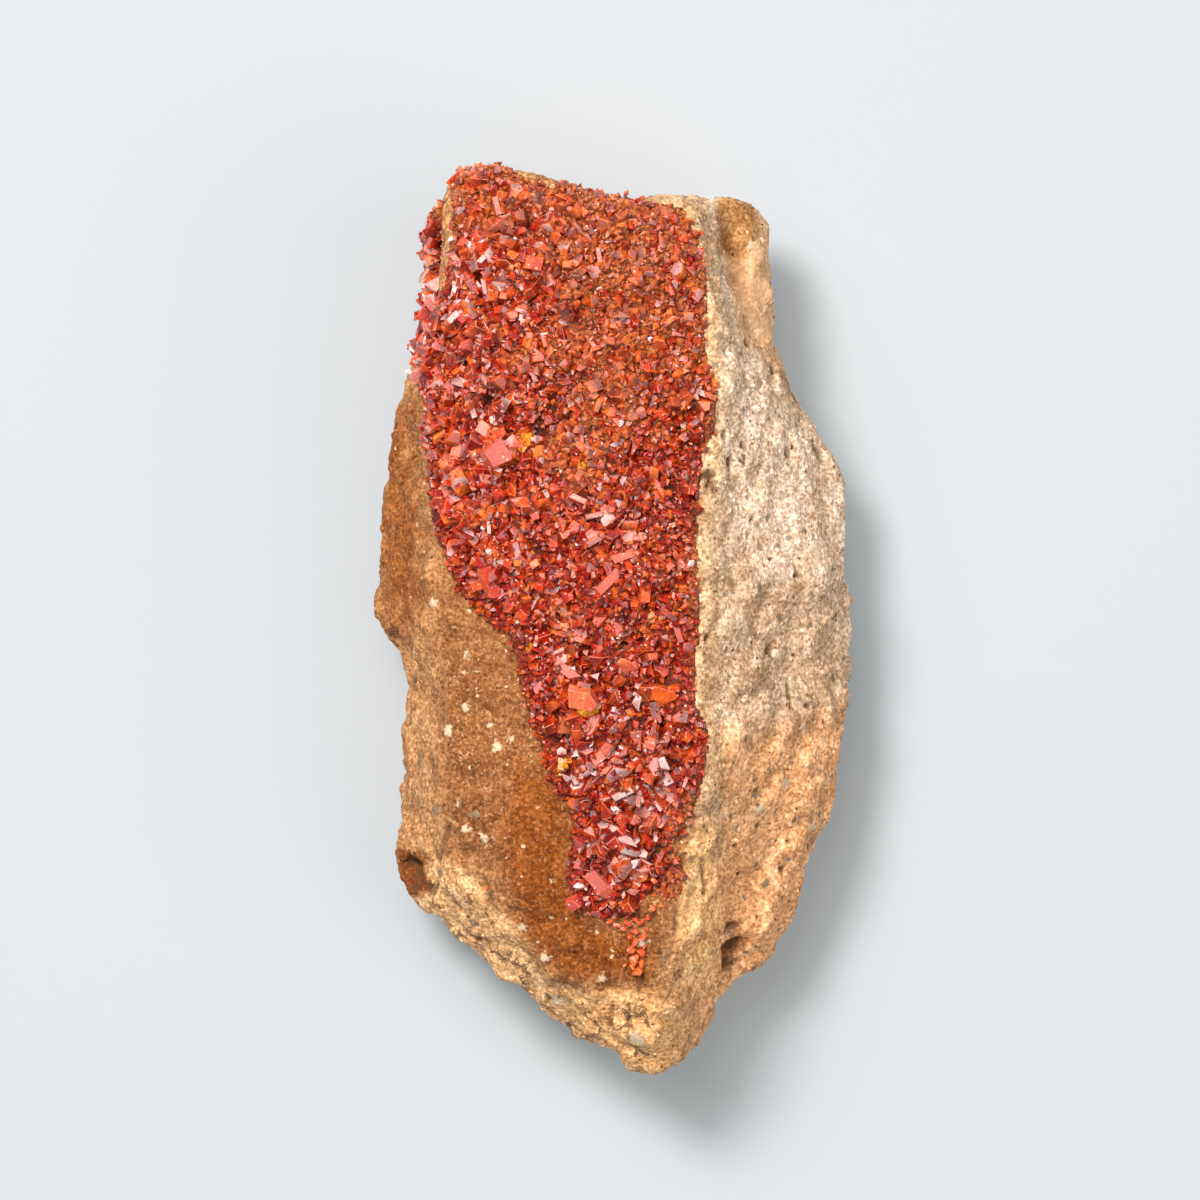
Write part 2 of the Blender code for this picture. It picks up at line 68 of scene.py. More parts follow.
# %% [markdown]
# The specimen was surveyed on a millimetre grid whose zero is near its middle. The frame's own zero
# is the middle of its base, so each surveyed place is moved by the same small step. One helper does
# that for every place in the lesson, and another puts a new object in the scene.

# %% Survey grid
GRID_STEP = Vector((0.276, 0.457, 0.0))


def place(x, y, z=0.0):
    """A surveyed place in mm as a point of the frame in metres."""
    return (Vector((x, y, z)) + GRID_STEP) * MM


def show(name, data):
    """A new object in the scene."""
    made = bpy.data.objects.new(name, data)
    bpy.context.scene.collection.objects.link(made)
    return made


print("grid zero is at", [round(v, 6) for v in place(0, 0)])

# %% [markdown]
# The viewer looks straight down on the crystals. A long lens keeps the depth of the stone from
# spreading its outline, as a photographer's macro lens on a copy stand does.

# %% Camera
VIEW_CENTRE = place(-1.5, 1.75, 17.0)
VIEW_WIDTH = 120 * MM
LENS = 500.0
SENSOR = 36.0

camera = show("camera", bpy.data.cameras.new("camera"))
camera.data.sensor_width = SENSOR
camera.data.lens = LENS
camera.location = VIEW_CENTRE + Vector((0, 0, VIEW_WIDTH * LENS / SENSOR))
camera.data.clip_start = 0.05
camera.data.clip_end = 20
bpy.context.scene.camera = camera
print("camera height in m", round(camera.location.z, 3))

# %% [markdown]
# A node graph written out by hand takes many lines. Here add() makes a node in the tree that was
# started last, sets its properties and fills its inputs: a value is set, and another node's output
# is linked. What it returns takes plain arithmetic, and each sign adds one Math node.

# %% Node helper
class Graph:
    """The node tree that was started last. The helpers add to it."""

    tree = None


class Value:
    """A node's output. An arithmetic sign or a comparison adds a Math node that works on it."""

    def __init__(self, socket):
        self.socket = socket

    def __getitem__(self, name):
        """Another output of the same node, by name or number."""
        return Value(self.socket.node.outputs[name])

    def __add__(self, other):
        return maths("ADD", self, other)

    def __sub__(self, other):
        return maths("SUBTRACT", self, other)

    def __rsub__(self, other):
        return maths("SUBTRACT", other, self)

    def __mul__(self, other):
        return maths("MULTIPLY", self, other)

    def __lt__(self, other):
        return maths("LESS_THAN", self, other)

    def __gt__(self, other):
        return maths("GREATER_THAN", self, other)


def fill(node, inputs):
    """inputs maps a socket's name or number to a value, or to another node's output."""
    for name, value in inputs.items():
        if isinstance(value, Value):
            Graph.tree.links.new(value.socket, node.inputs[name])
        else:
            node.inputs[name].default_value = value


def add(kind, inputs=None, **settings):
    """A new node's first output."""
    made = Graph.tree.nodes.new(kind)
    for name, value in settings.items():
        setattr(made, name, value)
    fill(made, inputs or {})
    return Value(made.outputs[0])


def maths(operation, first, second):
    return add("ShaderNodeMath", {0: first, 1: second}, operation=operation)


def vector_maths(operation, first, second):
    """One Vector Math node. To scale, second is a number."""
    key = "Scale" if operation == "SCALE" else 1
    return add("ShaderNodeVectorMath", {0: first, key: second}, operation=operation)


def held(value):
    """The same result of a sum, held between 0 and 1."""
    value.socket.node.use_clamp = True
    return value


print("node helpers ready")

# %% [markdown]
# A material is a graph too. Most of what follows lays one colour over another by a share between 0
# and 1, or multiplies a colour by a ramp: a row of colours along a number. A bump tilts the light's
# view of a surface by a height too small to model.

# %% Material helpers
WHITE = (1.0, 1.0, 1.0)


def new_material(name):
    """An empty material, whose tree is added to from here on, and its Principled shader."""
    made = bpy.data.materials.new(name)
    made.use_nodes = True
    Graph.tree = made.node_tree
    return made, made.node_tree.nodes["Principled BSDF"]


def attribute(name):
    """A number stored on the mesh's points."""
    return add("ShaderNodeAttribute", attribute_name=name)["Fac"]


def blend_colour(share, below, above, mode="MIX"):
    """Two colours mixed by a share from 0 to 1."""
    below, above = (colour if isinstance(colour, Value) else (*colour, 1) for colour in (below, above))
    return add("ShaderNodeMix", {0: share, 6: below, 7: above}, data_type="RGBA", blend_type=mode)[2]


def ramp(value, stops):
    """A colour ramp over a value. stops is a list of (position, colour)."""
    made = add("ShaderNodeValToRGB", {"Fac": value})
    elements = made.socket.node.color_ramp.elements
    while len(elements) < len(stops):
        elements.new(0.5)
    for element, (position, colour) in zip(elements, stops):
        element.position = position
        element.color = (*colour, 1)
    return made


def shade(colour, value, stops):
    """A colour multiplied by a ramp over a value."""
    return blend_colour(1.0, colour, ramp(value, stops), "MULTIPLY")


def bump(strength, distance, height):
    return add("ShaderNodeBump", {"Strength": strength, "Distance": distance, "Height": height})


print("material helpers ready")

# %% [markdown]
# The table is a plain, pale light table. It takes the soft shadow, which says how thick the stone is,
# and its own faint, cool glow keeps the ground beside the stone from turning grey.

# %% Table
TABLE_COLOUR = (0.412, 0.409, 0.422)
TABLE_GLOW = 0.128
GLOW_COLOUR = (0.68, 1.0, 1.03)
TABLE_HALF = 3.0
TABLE_DROP = 0.00002

table_mesh = bpy.data.meshes.new("table")
corners = [(x * TABLE_HALF, y * TABLE_HALF, -TABLE_DROP) for x, y in ((-1, -1), (1, -1), (1, 1), (-1, 1))]
table_mesh.from_pydata(corners, [], [(0, 1, 2, 3)])
table = show("table", table_mesh)
table_finish, shader = new_material("matt_table")
fill(shader, {
    "Base Color": (*TABLE_COLOUR, 1), "Roughness": 1.0, "Specular IOR Level": 0.0,
    "Emission Color": (*GLOW_COLOUR, 1), "Emission Strength": TABLE_GLOW,
})
table_mesh.materials.append(table_finish)
print("table half width in m", TABLE_HALF)

# %% [markdown]
# Round lamps in a pale tent. The key, high at the upper left, is fairly small, so the shadow has a
# clear edge. It carries a polarising filter and leaves no glare, which is how a lamp's mirror image
# is kept from bleaching every facet. A weaker, wider one beside it puts the sparkle back. A wide
# lamp hangs round the camera's axis, where its own shadows hide behind the stone, and one at the
# right opens up the steep side that the key leaves dark. Two gleams are seen in the facets alone:
# they cast no light and no shadow, but a face that tips towards one flashes.

# %% Light
LAMPS = [
    # name, direction it shines from, distance and width in m, power in W, whether it lights, glares
    ("key", (-0.291, 0.388, 0.875), 1.6, 0.42, 24.0, True, False),
    ("sparkle", (-0.291, 0.388, 0.875), 1.6, 1.20, 15.0, True, True),
    ("overhead", (0.02, 0.0, 1.0), 2.2, 1.8, 10.0, True, True),
    ("right_fill", (0.60, -0.12, 0.79), 1.6, 1.2, 7.0, True, True),
    ("left_gleam", (-0.78, 0.05, 0.62), 1.6, 0.7, 3.6, False, True),
    ("back_gleam", (0.20, 0.76, 0.62), 1.6, 0.7, 3.6, False, True),
]
TENT_STRENGTH = 0.15


def hang_lamp(name, direction, distance, width, watts, lights, glares):
    lamp = show(name, bpy.data.lights.new(name, "AREA"))
    lamp.data.shape = "DISK"
    lamp.data.size = width
    lamp.data.energy = watts
    lamp.visible_diffuse = lights
    lamp.visible_glossy = glares
    direction = Vector(direction).normalized()
    lamp.location = VIEW_CENTRE + direction * distance
    lamp.rotation_mode = "QUATERNION"
    lamp.rotation_quaternion = direction.to_track_quat("Z", "Y")
    print(name, "is seen as", round(math.degrees(2 * math.atan(width / 2 / distance))), "degrees wide")


for lamp in LAMPS:
    hang_lamp(*lamp)
world = bpy.data.worlds.new("light_tent")
world.use_nodes = True
world.node_tree.nodes["Background"].inputs["Color"].default_value = (*WHITE, 1)
world.node_tree.nodes["Background"].inputs["Strength"].default_value = TENT_STRENGTH
bpy.context.scene.world = world
bpy.context.scene.view_settings.view_transform = "Standard"

# %% [markdown]
# Geometry Nodes work inside a modifier. Three helpers keep the steps short: one starts an empty tree
# with named inputs, one sets a modifier's inputs through each socket's identifier, and one turns
# the result into a plain mesh and takes the modifier away with the object that carried it.

# %% Geometry Nodes helpers
def new_tree(name, inputs):
    """A Geometry Nodes tree, which is added to from here on, and its inputs. The first is a mesh."""
    tree = bpy.data.node_groups.new(name, "GeometryNodeTree")
    for label, kind in {"Geometry": "Geometry", **inputs}.items():
        tree.interface.new_socket(label, in_out="INPUT", socket_type="NodeSocket" + kind)
    tree.interface.new_socket("Geometry", in_out="OUTPUT", socket_type="NodeSocketGeometry")
    Graph.tree = tree
    return tree, {socket.name: Value(socket) for socket in tree.nodes.new("NodeGroupInput").outputs}


def end_tree(geometry):
    fill(Graph.tree.nodes.new("NodeGroupOutput"), {"Geometry": geometry})


def run_tree(obj, tree, values):
    """Adds the tree to obj as a modifier with these input values."""
    modifier = obj.modifiers.new(tree.name, "NODES")
    modifier.node_group = tree
    for item in tree.interface.items_tree:
        if item.in_out == "INPUT" and item.name in values:
            modifier[item.identifier] = values[item.name]


def settle(obj, name):
    """A plain mesh object of what obj's modifiers make. obj itself is removed."""
    bpy.context.view_layer.update()
    graph = bpy.context.evaluated_depsgraph_get()
    mesh = bpy.data.meshes.new_from_object(obj.evaluated_get(graph), depsgraph=graph)
    mesh.name = name
    bpy.data.objects.remove(obj)
    return show(name, mesh)


def mesh_from(work, mesh):
    """The mesh, with what a bmesh holds. The bmesh is freed."""
    work.to_mesh(mesh)
    work.free()
    return mesh


def triangles(obj):
    return sum(len(face.vertices) - 2 for face in obj.data.polygons)


print("Geometry Nodes helpers ready")

# %% [markdown]
# The rock starts as the plain solid. A voxel remesh gives it an even, fine net of faces, and a
# little smoothing takes off the solid's flat facets. The net is what the relief is pressed into.

# %% Rock blank
NET = 0.40 * MM
EASE_PASSES = 4
EASE = 0.6
SAME_PLACE = 0.001 * MM

work = bmesh.new()
work.from_mesh(frame["nodes"]["host_rock"].data)
bmesh.ops.remove_doubles(work, verts=work.verts, dist=SAME_PLACE)
blank = show("rock_blank", mesh_from(work, bpy.data.meshes.new("rock_blank")))
net = blank.modifiers.new("net", "REMESH")
net.mode = "VOXEL"
net.voxel_size = NET
ease = blank.modifiers.new("ease", "SMOOTH")
ease.iterations = EASE_PASSES
ease.factor = EASE
print("rock blank points", len(blank.data.vertices))

# %% [markdown]
# Sandy rock breaks with relief at every scale: lumps of several millimetres, knobs the size of a
# lentil, single grains, and pits where grains have dropped out. Each is one noise, and their sum
# moves the surface along its normal. The right-hand side split along a joint, so it is calmer. The
# base keeps to the table's level, because the stone rests on it.

# %% Rock relief tree
RELIEF = {"Lumps": 1.45 * MM, "Knobs": 0.65 * MM, "Grains": 0.18 * MM, "Pits": 0.8 * MM, "Right Calm": 0.75}
TALLER = (1.0, 1.0, 0.65)


def noise_value(spot, size, detail=3.0):
    """Noise from 0 to 1 with lumps of this size in metres."""
    return add("ShaderNodeTexNoise", {"Vector": spot, "Scale": 1 / size, "Detail": detail, "Roughness": 0.6})


def cell_value(spot, size):
    """One random number per grain of this size in metres, and the distance from its middle."""
    cells = add("ShaderNodeTexVoronoi", {"Vector": spot, "Scale": 1 / size})
    return add("ShaderNodeSeparateXYZ", {0: cells["Color"]}), cells


def build_relief_tree():
    tree, entry = new_tree("rock_relief", dict.fromkeys(RELIEF, "Float"))
    spot = add("GeometryNodeInputPosition")
    normal = add("GeometryNodeInputNormal")
    lumps = (noise_value(spot, 5.0 * MM) - 0.5) * entry["Lumps"]
    knobs = (noise_value(spot, 1.6 * MM, 2.0) - 0.5) * entry["Knobs"]
    tall_spot = vector_maths("MULTIPLY", spot, TALLER)
    grains = (0.45 - cell_value(tall_spot, 0.95 * MM)[1]) * entry["Grains"]
    chance, middle = cell_value(tall_spot, 3.1 * MM)
    reach = held(chance - 0.45) * 0.55
    pits = held(reach - middle) * 4.0 * entry["Pits"]
    right = held(add("ShaderNodeSeparateXYZ", {0: normal}) * 1.5) * entry["Right Calm"]
    height = (lumps + knobs) * (1.0 - right) + grains - pits
    moved = vector_maths("ADD", spot, vector_maths("SCALE", normal, height))
    parts = add("ShaderNodeSeparateXYZ", {0: moved})
    level = maths("MAXIMUM", parts[2], 0.0)
    ends = add("ShaderNodeCombineXYZ", {0: parts, 1: parts[1], 2: level})
    end_tree(add("GeometryNodeSetPosition", {"Geometry": entry["Geometry"], "Position": ends}))
    return tree


run_tree(blank, build_relief_tree(), RELIEF)
rock = settle(blank, "weathered_rock")
print("rock triangles", triangles(rock))

# %% [markdown]
# The druse has its own outline, drawn from above, and a patch on the left flank, drawn from the
# side, with a bare strip of rock between them. A signed distance to an outline, positive inside,
# is what every later step asks for: it says where something is and how far from its border.

# %% Outlines of the druse
DRUSE_ABOVE = [
    (-16.0, 44.4), (-16.6, 40.5), (-16.8, 37), (-17.0, 33.5), (-17.6, 30.5), (-18.4, 28.6),
    (-23.0, 28.4), (-23.5, 26), (-23.5, 22.6), (-20.9, 22.0), (-19.4, 20.2), (-18.6, 14.6),
    (-18.3, 10.2), (-17.7, 7.8), (-16.4, 4.6), (-15.2, 2.0), (-13.6, 0.4), (-12.0, -1.2),
    (-10.4, -1.8), (-9.8, -4.8), (-9.2, -8.0), (-8.4, -10.4), (-7.4, -12.8), (-6.6, -16.2),
    (-5.4, -18.2), (-4.3, -18.6), (-4.4, -22.4), (-5.0, -25.2), (-4.6, -28.2), (-3.0, -29.4),
    (-1.2, -29.8), (0.2, -29.9), (1.6, -29.6), (3.6, -28.4), (6.6, -27.4), (6.9, -24.8),
    (5.6, -22.4), (7.2, -20.6), (8.4, -17.6), (9.2, -13.2), (9.1, -10.8), (8.0, -8.4), (8.0, -4.6),
    (8.5, -1.0), (8.2, 4.2), (8.2, 9.2), (8.5, 13.4), (9.2, 17.0), (9.9, 18.4), (10.0, 23.8),
    (8.8, 26.6), (9.1, 31.0), (9.0, 35.0), (7.9, 38.4), (7.0, 40.5), (3.6, 41.3), (0.6, 41.7),
    (-2.2, 42.3), (-4.6, 43.1), (-7.2, 43.5), (-9.0, 43.7), (-10.8, 44.8), (-13.4, 45.2),
]
DRUSE_FLANK = [
    (42.0, 23.6), (39.4, 25.0), (36.0, 25.6), (32.5, 25.8), (30.2, 27.0), (25.0, 27.4),
    (22.8, 25.0), (22.6, 20.4), (25.2, 17.2), (29.0, 15.6), (33.0, 16.4), (36.6, 15.8),
    (39.6, 18.0), (41.8, 19.6),
]
BARE_STRIP = [
    (-17.4, 42.4), (-18.4, 38.1), (-18.9, 36.7), (-19.3, 35.2), (-18.9, 33.2), (-19.1, 30.6),
    (-19.2, 28.6), (-18.4, 28.4), (-17.9, 30.6), (-17.3, 32.4), (-16.7, 33.8), (-16.4, 37.2),
    (-16.1, 39.0), (-16.2, 42.4),
]
LOWEST = 23.5
FLANK_SIDE = -14.0
OUTSIDE = -9.0


def outline_depth(outline, u, v):
    """Distance in mm from each point to an outline, positive inside it."""
    nearest = np.full(len(u), 1e9)
    inside = np.zeros(len(u), bool)
    for (u0, v0), (u1, v1) in zip(outline, outline[1:] + outline[:1]):
        du, dv = u1 - u0, v1 - v0
        along = np.clip(((u - u0) * du + (v - v0) * dv) / (du * du + dv * dv), 0, 1)
        nearest = np.minimum(nearest, np.hypot(u - u0 - along * du, v - v0 - along * dv))
        if dv:
            inside ^= ((v0 > v) != (v1 > v)) & (u < u0 + (v - v0) / dv * du)
    return np.where(inside, nearest, -nearest)


def soft(depth, width):
    """0 outside an outline, 1 inside, with a ramp of this width in mm on its line."""
    return np.clip(depth / width + 0.5, 0, 1)


def druse_depth(points):
    """Distance in mm from the druse's border, positive under the druse."""
    x, y, z = points.T
    above = np.where(z > LOWEST, outline_depth(DRUSE_ABOVE, x, y), OUTSIDE)
    flank = np.where(x < FLANK_SIDE, outline_depth(DRUSE_FLANK, y, z), OUTSIDE)
    bare = np.where(z > LOWEST, outline_depth(BARE_STRIP, x, y), OUTSIDE)
    return np.minimum(np.maximum(above, flank), -bare)


def vectors_of(items, name):
    """One vector per item of a mesh, as an array."""
    flat = np.empty(len(items) * 3, np.float32)
    items.foreach_get(name, flat)
    return flat.reshape(-1, 3)


def points_of(mesh):
    """Every point of a mesh on the survey grid, in mm."""
    return vectors_of(mesh.vertices, "co") / MM - np.array(GRID_STEP)


def normals_of(mesh):
    return vectors_of(mesh.vertex_normals, "vector")


print("outline points", len(DRUSE_ABOVE), "+", len(DRUSE_FLANK))

# %% [markdown]
# Some marks are easy to tell apart and are listed one by one: hollows where a grain has dropped out,
# short cracks, and clasts that stand a little proud. Each is given as seen from above. A ray sent
# down finds the point of the surface under it, and a mark reaches as far as its radius in space, so
# it keeps its shape on a steep side too.

# %% Marks on the rock
PITS = [
    # x, y, radius, depth
    (-20.3, -6.5, 0.7, 0.5), (-20.5, -24.6, 0.9, 0.5), (-19.8, -25.8, 0.9, 0.7),
    (-18.9, -27.0, 0.7, 0.6), (-20.3, -27.2, 0.6, 0.4), (-13.9, -32.1, 0.7, 0.8), (-15.8, -28.7, 0.5, 0.4),
    (3.4, -29.9, 0.45, 0.5), (9.6, 14.2, 0.5, 0.5), (9.7, 13.4, 0.6, 0.6), (9.9, 12.6, 0.45, 0.5),
    (11.4, 15.5, 0.5, 0.5), (12.9, 15.5, 0.5, 0.5), (10.8, 18.1, 0.45, 0.4), (12.8, 17.0, 0.45, 0.4),
    (17.1, 16.6, 0.5, 0.5), (20.3, 16.8, 1.1, 0.8), (17.7, 22.4, 0.5, 0.4), (15.7, 24.8, 0.6, 0.5),
    (15.4, -3.3, 0.6, 0.6), (14.1, -16.2, 0.5, 0.5), (14.1, -17.2, 0.5, 0.5), (14.3, -20.7, 0.5, 0.4),
    (16.8, -25.2, 0.6, 0.4), (9.2, -2.1, 0.4, 0.4), (11.7, -31.2, 1.0, 0.9), (11.6, -32.9, 1.1, 1.1),
    (11.4, -34.6, 0.9, 0.8), (9.0, 14.2, 0.8, 0.6),
    (9.15, 13.2, 0.7, 0.6), (10.3, 36.2, 0.6, 0.5), (10.7, 34.4, 0.6, 0.5), (13.2, 27.4, 0.6, 0.5),
    (-18.2, -14.9, 0.5, 0.4), (18.2, 4.2, 0.45, 0.4), (13.6, 9.8, 0.4, 0.4), (19.4, -8.8, 0.5, 0.4),
]
CRACKS = [
    # x, y of one end, x, y of the other
    (6.1, -28.6, 6.1, -31.2), (2.8, -35.7, 2.2, -37.5), (-0.3, -38.8, -0.5, -41.0),
    (1.3, -38.6, 1.5, -41.0), (-6.5, -38.0, -7.0, -38.6), (-16.7, -21.0, -17.6, -24.6),
    (8.7, -24.0, 9.0, -27.5), (17.2, -6.5, 17.6, -9.0), (-13.0, -26.0, -12.2, -29.0),
]
CLASTS = [
    # x, y, radius
    (-18.1, 1.5, 0.6), (-20.0, -3.5, 0.4), (-15.0, -5.6, 0.3), (-14.8, -3.7, 0.3), (-14.9, -8.9, 0.35),
    (-11.7, -12.9, 0.55), (-16.6, -11.2, 0.6), (-15.5, -18.5, 0.4), (-12.9, -22.0, 0.45),
    (-14.9, -21.0, 0.45), (-10.3, -12.0, 0.3), (-12.4, -10.6, 0.35), (9.8, 11.6, 0.4), (14.3, -19.1, 0.7),
    (19.7, -21.0, 0.6), (18.6, -10.9, 0.6), (16.8, -16.6, 0.6), (-1.3, -35.9, 0.35), (2.5, -32.2, 0.5),
    (-5.9, -38.1, 0.9), (2.2, -42.0, 1.1), (-7.0, -33.8, 0.6), (-9.2, -30.7, 0.5), (20.2, 6.4, 0.8),
    (13.8, 7.4, 0.5), (12.4, -2.6, 0.6), (16.4, 12.2, 0.6), (11.2, 24.0, 0.5), (13.6, 37.2, 0.5),
]
GREY_CLASTS = [
    (-19.4, -14.5, 0.9), (-13.9, -19.5, 0.5), (-17.8, -19.2, 0.6), (-14.0, -30.4, 0.6), (-17.4, -25.4, 0.7),
    (11.4, 3.4, 0.6), (14.3, 3.1, 0.6), (16.2, -0.1, 0.5), (12.9, -11.9, 0.5), (14.5, -5.8, 0.4),
    (21.3, 6.0, 0.5), (21.1, 2.5, 0.4), (15.1, -26.5, 0.5), (18.8, 8.6, 0.5), (10.4, 28.0, 0.5),
]
CRACK_WIDTH = 0.3
CRACK_DEPTH = 0.35
CRACK_SHADE = 0.7
PALE_RISE = 0.14
GREY_RISE = 0.12
RAGGEDNESS = 0.7


def surface_tree(mesh):
    corners = [vert.co.copy() for vert in mesh.vertices]
    return BVHTree.FromPolygons(corners, [tuple(face.vertices) for face in mesh.polygons])


def on_grid(point):
    """A point of the frame in metres as a surveyed place in mm."""
    return np.array(point / MM - GRID_STEP)


def from_above(tree, x, y):
    """The surface point in mm under a surveyed place, or None beside the stone."""
    hit = tree.ray_cast(place(x, y, 60), Vector((0, 0, -1)))[0]
    return None if hit is None else on_grid(hit)


def move_points(mesh, points):
    flat = ((points + np.array(GRID_STEP)) * MM).astype(np.float32)
    flat[:, 2] = np.maximum(flat[:, 2], 0)
    mesh.vertices.foreach_set("co", flat.ravel())
    mesh.update()


def store(mesh, name, values, domain="POINT"):
    """Keeps one number per point, or per face, on the mesh."""
    made = mesh.attributes.new(name, "FLOAT", domain)
    made.data.foreach_set("value", np.asarray(values, np.float32))


def mark(tree, points, spots):
    """How strongly each point lies in one of the spots (x, y, radius), from 0 to 1."""
    strength = np.zeros(len(points))
    for x, y, radius in spots:
        centre = from_above(tree, x, y)
        if centre is None:
            continue
        near = np.linalg.norm(points - centre, axis=1) / radius
        close = np.nonzero(near < 2.5)[0]
        ragged_near = near[close] * [1 + RAGGEDNESS * noise.noise(Vector(points[i]) * 1.6) for i in close]
        strength[close] = np.maximum(strength[close], np.clip(1.6 - 1.3 * ragged_near, 0, 1))
    return strength


def mark_rock(mesh):
    points = points_of(mesh)
    normals = normals_of(mesh)
    tree = surface_tree(mesh)
    push = np.zeros(len(points))
    dark = np.zeros(len(points))
    # Pits and cracks are pressed in and also painted dark: painted shade in them, though a few pits stand for
    # real dark marks.
    for x, y, radius, depth in PITS:
        here = mark(tree, points, [(x, y, radius)])
        push -= depth * here
        dark = np.maximum(dark, here)
    for x0, y0, x1, y1 in CRACKS:
        steps = int(math.hypot(x1 - x0, y1 - y0) / CRACK_WIDTH) + 2
        line = [
            (x0 + (x1 - x0) * i / steps, y0 + (y1 - y0) * i / steps, CRACK_WIDTH) for i in range(steps + 1)
        ]
        here = mark(tree, points, line)
        push -= CRACK_DEPTH * here
        dark = np.maximum(dark, CRACK_SHADE * here)
    pale = mark(tree, points, CLASTS)
    grey = mark(tree, points, GREY_CLASTS)
    push += PALE_RISE * pale + GREY_RISE * grey
    move_points(mesh, points + normals * push[:, None])
    store(mesh, "dark", dark)
    store(mesh, "pale", pale)
    store(mesh, "grey", grey)


SINK = 1.1


def sink_under_druse(mesh):
    """Lowers the rock where the druse lies, so that it can't show through the crystals' bed."""
    points = points_of(mesh)
    drop = SINK * np.clip(druse_depth(points) - 0.2, 0, 1)
    move_points(mesh, points - normals_of(mesh) * drop[:, None])


mark_rock(rock.data)
skin_mesh = rock.data.copy()
sink_under_druse(rock.data)
print("marks", len(PITS), "pits,", len(CRACKS), "cracks,", len(CLASTS) + len(GREY_CLASTS), "clasts")

# %% [markdown]
# Colour follows the stone's history. Iron water soaked the old joint face brown, and its lowest part
# stayed damp and dark. The lower left corner broke off later and is pale, and its recess is painted
# dark as painted shade. The right-hand face is cream above and pinkish below, with a paler band that
# is partly a real wash and partly painted light on the shaded groove by the block. Each zone is one or
# two outlines drawn on the survey grid. A signed distance to them, softened, is stored on the mesh for
# the shader to read. The shader lays the zones over each other in this order.

# %% Zones on the rock
BLOCK_COLOUR = (0.79, 0.455, 0.235)
DAMP_AND_SHADE_COLOUR = (0.262, 0.068, 0.010)
ZONES = {
    # name: (colour, softness of the border in mm, what breaks it up, outlines)
    "cream": ((0.67, 0.430, 0.250), 8.0, "patches", [
        (6, 42), (10.2, 42), (11.6, 34), (13.0, 27), (27, 14), (27, -8), (10, -14), (6, -12),
    ]),
    # partly a real paler wash, partly painted light that lightens the shaded groove between the ridge and the
    # block
    "wash": ((0.86, 0.60, 0.40), 6.0, "patches", [
        (9.4, 42), (12.2, 40), (13.0, 28), (20, 19), (26, 8), (24, -2), (20, 4), (15, 3), (11, 10),
        (10.2, 26),
    ]),
    "pink": ((0.91, 0.455, 0.200), 9.0, "patches", [
        (11, -12), (26, -10), (26, -40), (8, -48), (6, -34), (8, -22),
    ]),
    "ridge": ((0.62, 0.375, 0.190), 1.6, "mottle", [
        (4, 43), (9.4, 43), (10.0, 36), (10.4, 28), (10.6, 18), (10.0, 8), (10.2, -6), (10.6, -24), (4, -24),
    ]),
    "block": (BLOCK_COLOUR, 2.0, "patches", [(10.4, 46), (10.6, 36), (13.2, 27.0), (17.5, 26.0), (20, 46)]),
    "rust": ((0.42, 0.19, 0.06), 1.6, "mottle", [
        (10.0, 42.0), (10.2, 36.4), (12.6, 35.4), (14.6, 38.4), (14.2, 42.2),
    ]),
    "rind": ((0.32, 0.098, 0.021), 6.0, "patches", [
        (-26, 24), (-19.6, 22), (-19.0, 10), (-18.6, 2), (-21, -3), (-26, -4),
    ]),
    "stain": ((0.290, 0.108, 0.034), 5.0, "mottle", [
        (-19.5, 21), (-18.2, 12), (-17.4, 6), (-17.8, -2), (-17.6, -10), (-17.4, -18), (-16.4, -23),
        (-13.4, -25.6), (-10.0, -30), (-7.6, -34), (-5.0, -36.8), (2.4, -37.0), (4.4, -36.2),
        (5.6, -32), (6.6, -28.5), (8.0, -24), (8.4, -18), (4, -14), (4, 20), (-10, 24),
    ]),
    "damp": (DAMP_AND_SHADE_COLOUR, 4.0, "mottle", [
        (-9.5, -14), (-6.5, -16), (-4.6, -19), (-4.6, -27), (-2.5, -30.5), (0.0, -32), (3.5, -31.5),
        (3.0, -35.6), (-5.0, -36.0), (-8.6, -32), (-10.6, -26), (-11, -19),
    ]),
    "break": ((0.88, 0.490, 0.220), 1.6, "mottle", [
        (-20.6, -26.0), (-17.2, -23.6), (-14.6, -25.8), (-10.6, -30.4), (-7.8, -35), (-4.8, -37.6),
        (2.2, -38.2), (5.4, -38.6), (6.0, -46), (-2, -48), (-24, -34),
    ]),
    "ochre": (
        (0.98, 0.52, 0.210), 2.4, "mottle",
        [(7.4, -21), (9.6, -20), (10.4, -28), (9.6, -36), (7.0, -38), (6.2, -30)],
        [(-5, -37.2), (3, -37.6), (7, -40), (6, -46), (-1, -44)],
    ),
    # painted shade: the recess at the lower left corner is painted dark brown
    "recess": (DAMP_AND_SHADE_COLOUR, 1.6, "mottle", [(-21.8, -23.2), (-19.4, -23.6), (-18.2, -27.6), (-21.8, -28.4)]),
}


def zone_rock(mesh):
    x, y, z = points_of(mesh).T
    upward = normals_of(mesh)[:, 2]
    shares = {
        "stain": soft(upward, 0.3), "damp": soft(upward, 0.3), "break": soft(upward + 0.2, 0.5),
        "ridge": soft(z - 22, 8.0), "rind": soft(z - 12, 14.0),
    }
    for name, (colour, softness, noise_name, *outlines) in ZONES.items():
        inside = np.max([soft(outline_depth(outline, x, y), softness) for outline in outlines], axis=0)
        store(mesh, name, inside * shares.get(name, 1.0))


zone_rock(rock.data)
print("zones stored:", list(ZONES))

# %% [markdown]
# Up close the rock is sand: grains half a millimetre wide, most of them near the zone's own colour,
# some cream, some dark. A Voronoi texture gives one random number per grain, which a ramp turns into
# that mix. Others pick out scattered specks, clasts, dark marks, and the seams of the crumbly break.
# Noise shakes the coordinates first, so that no speck is round.

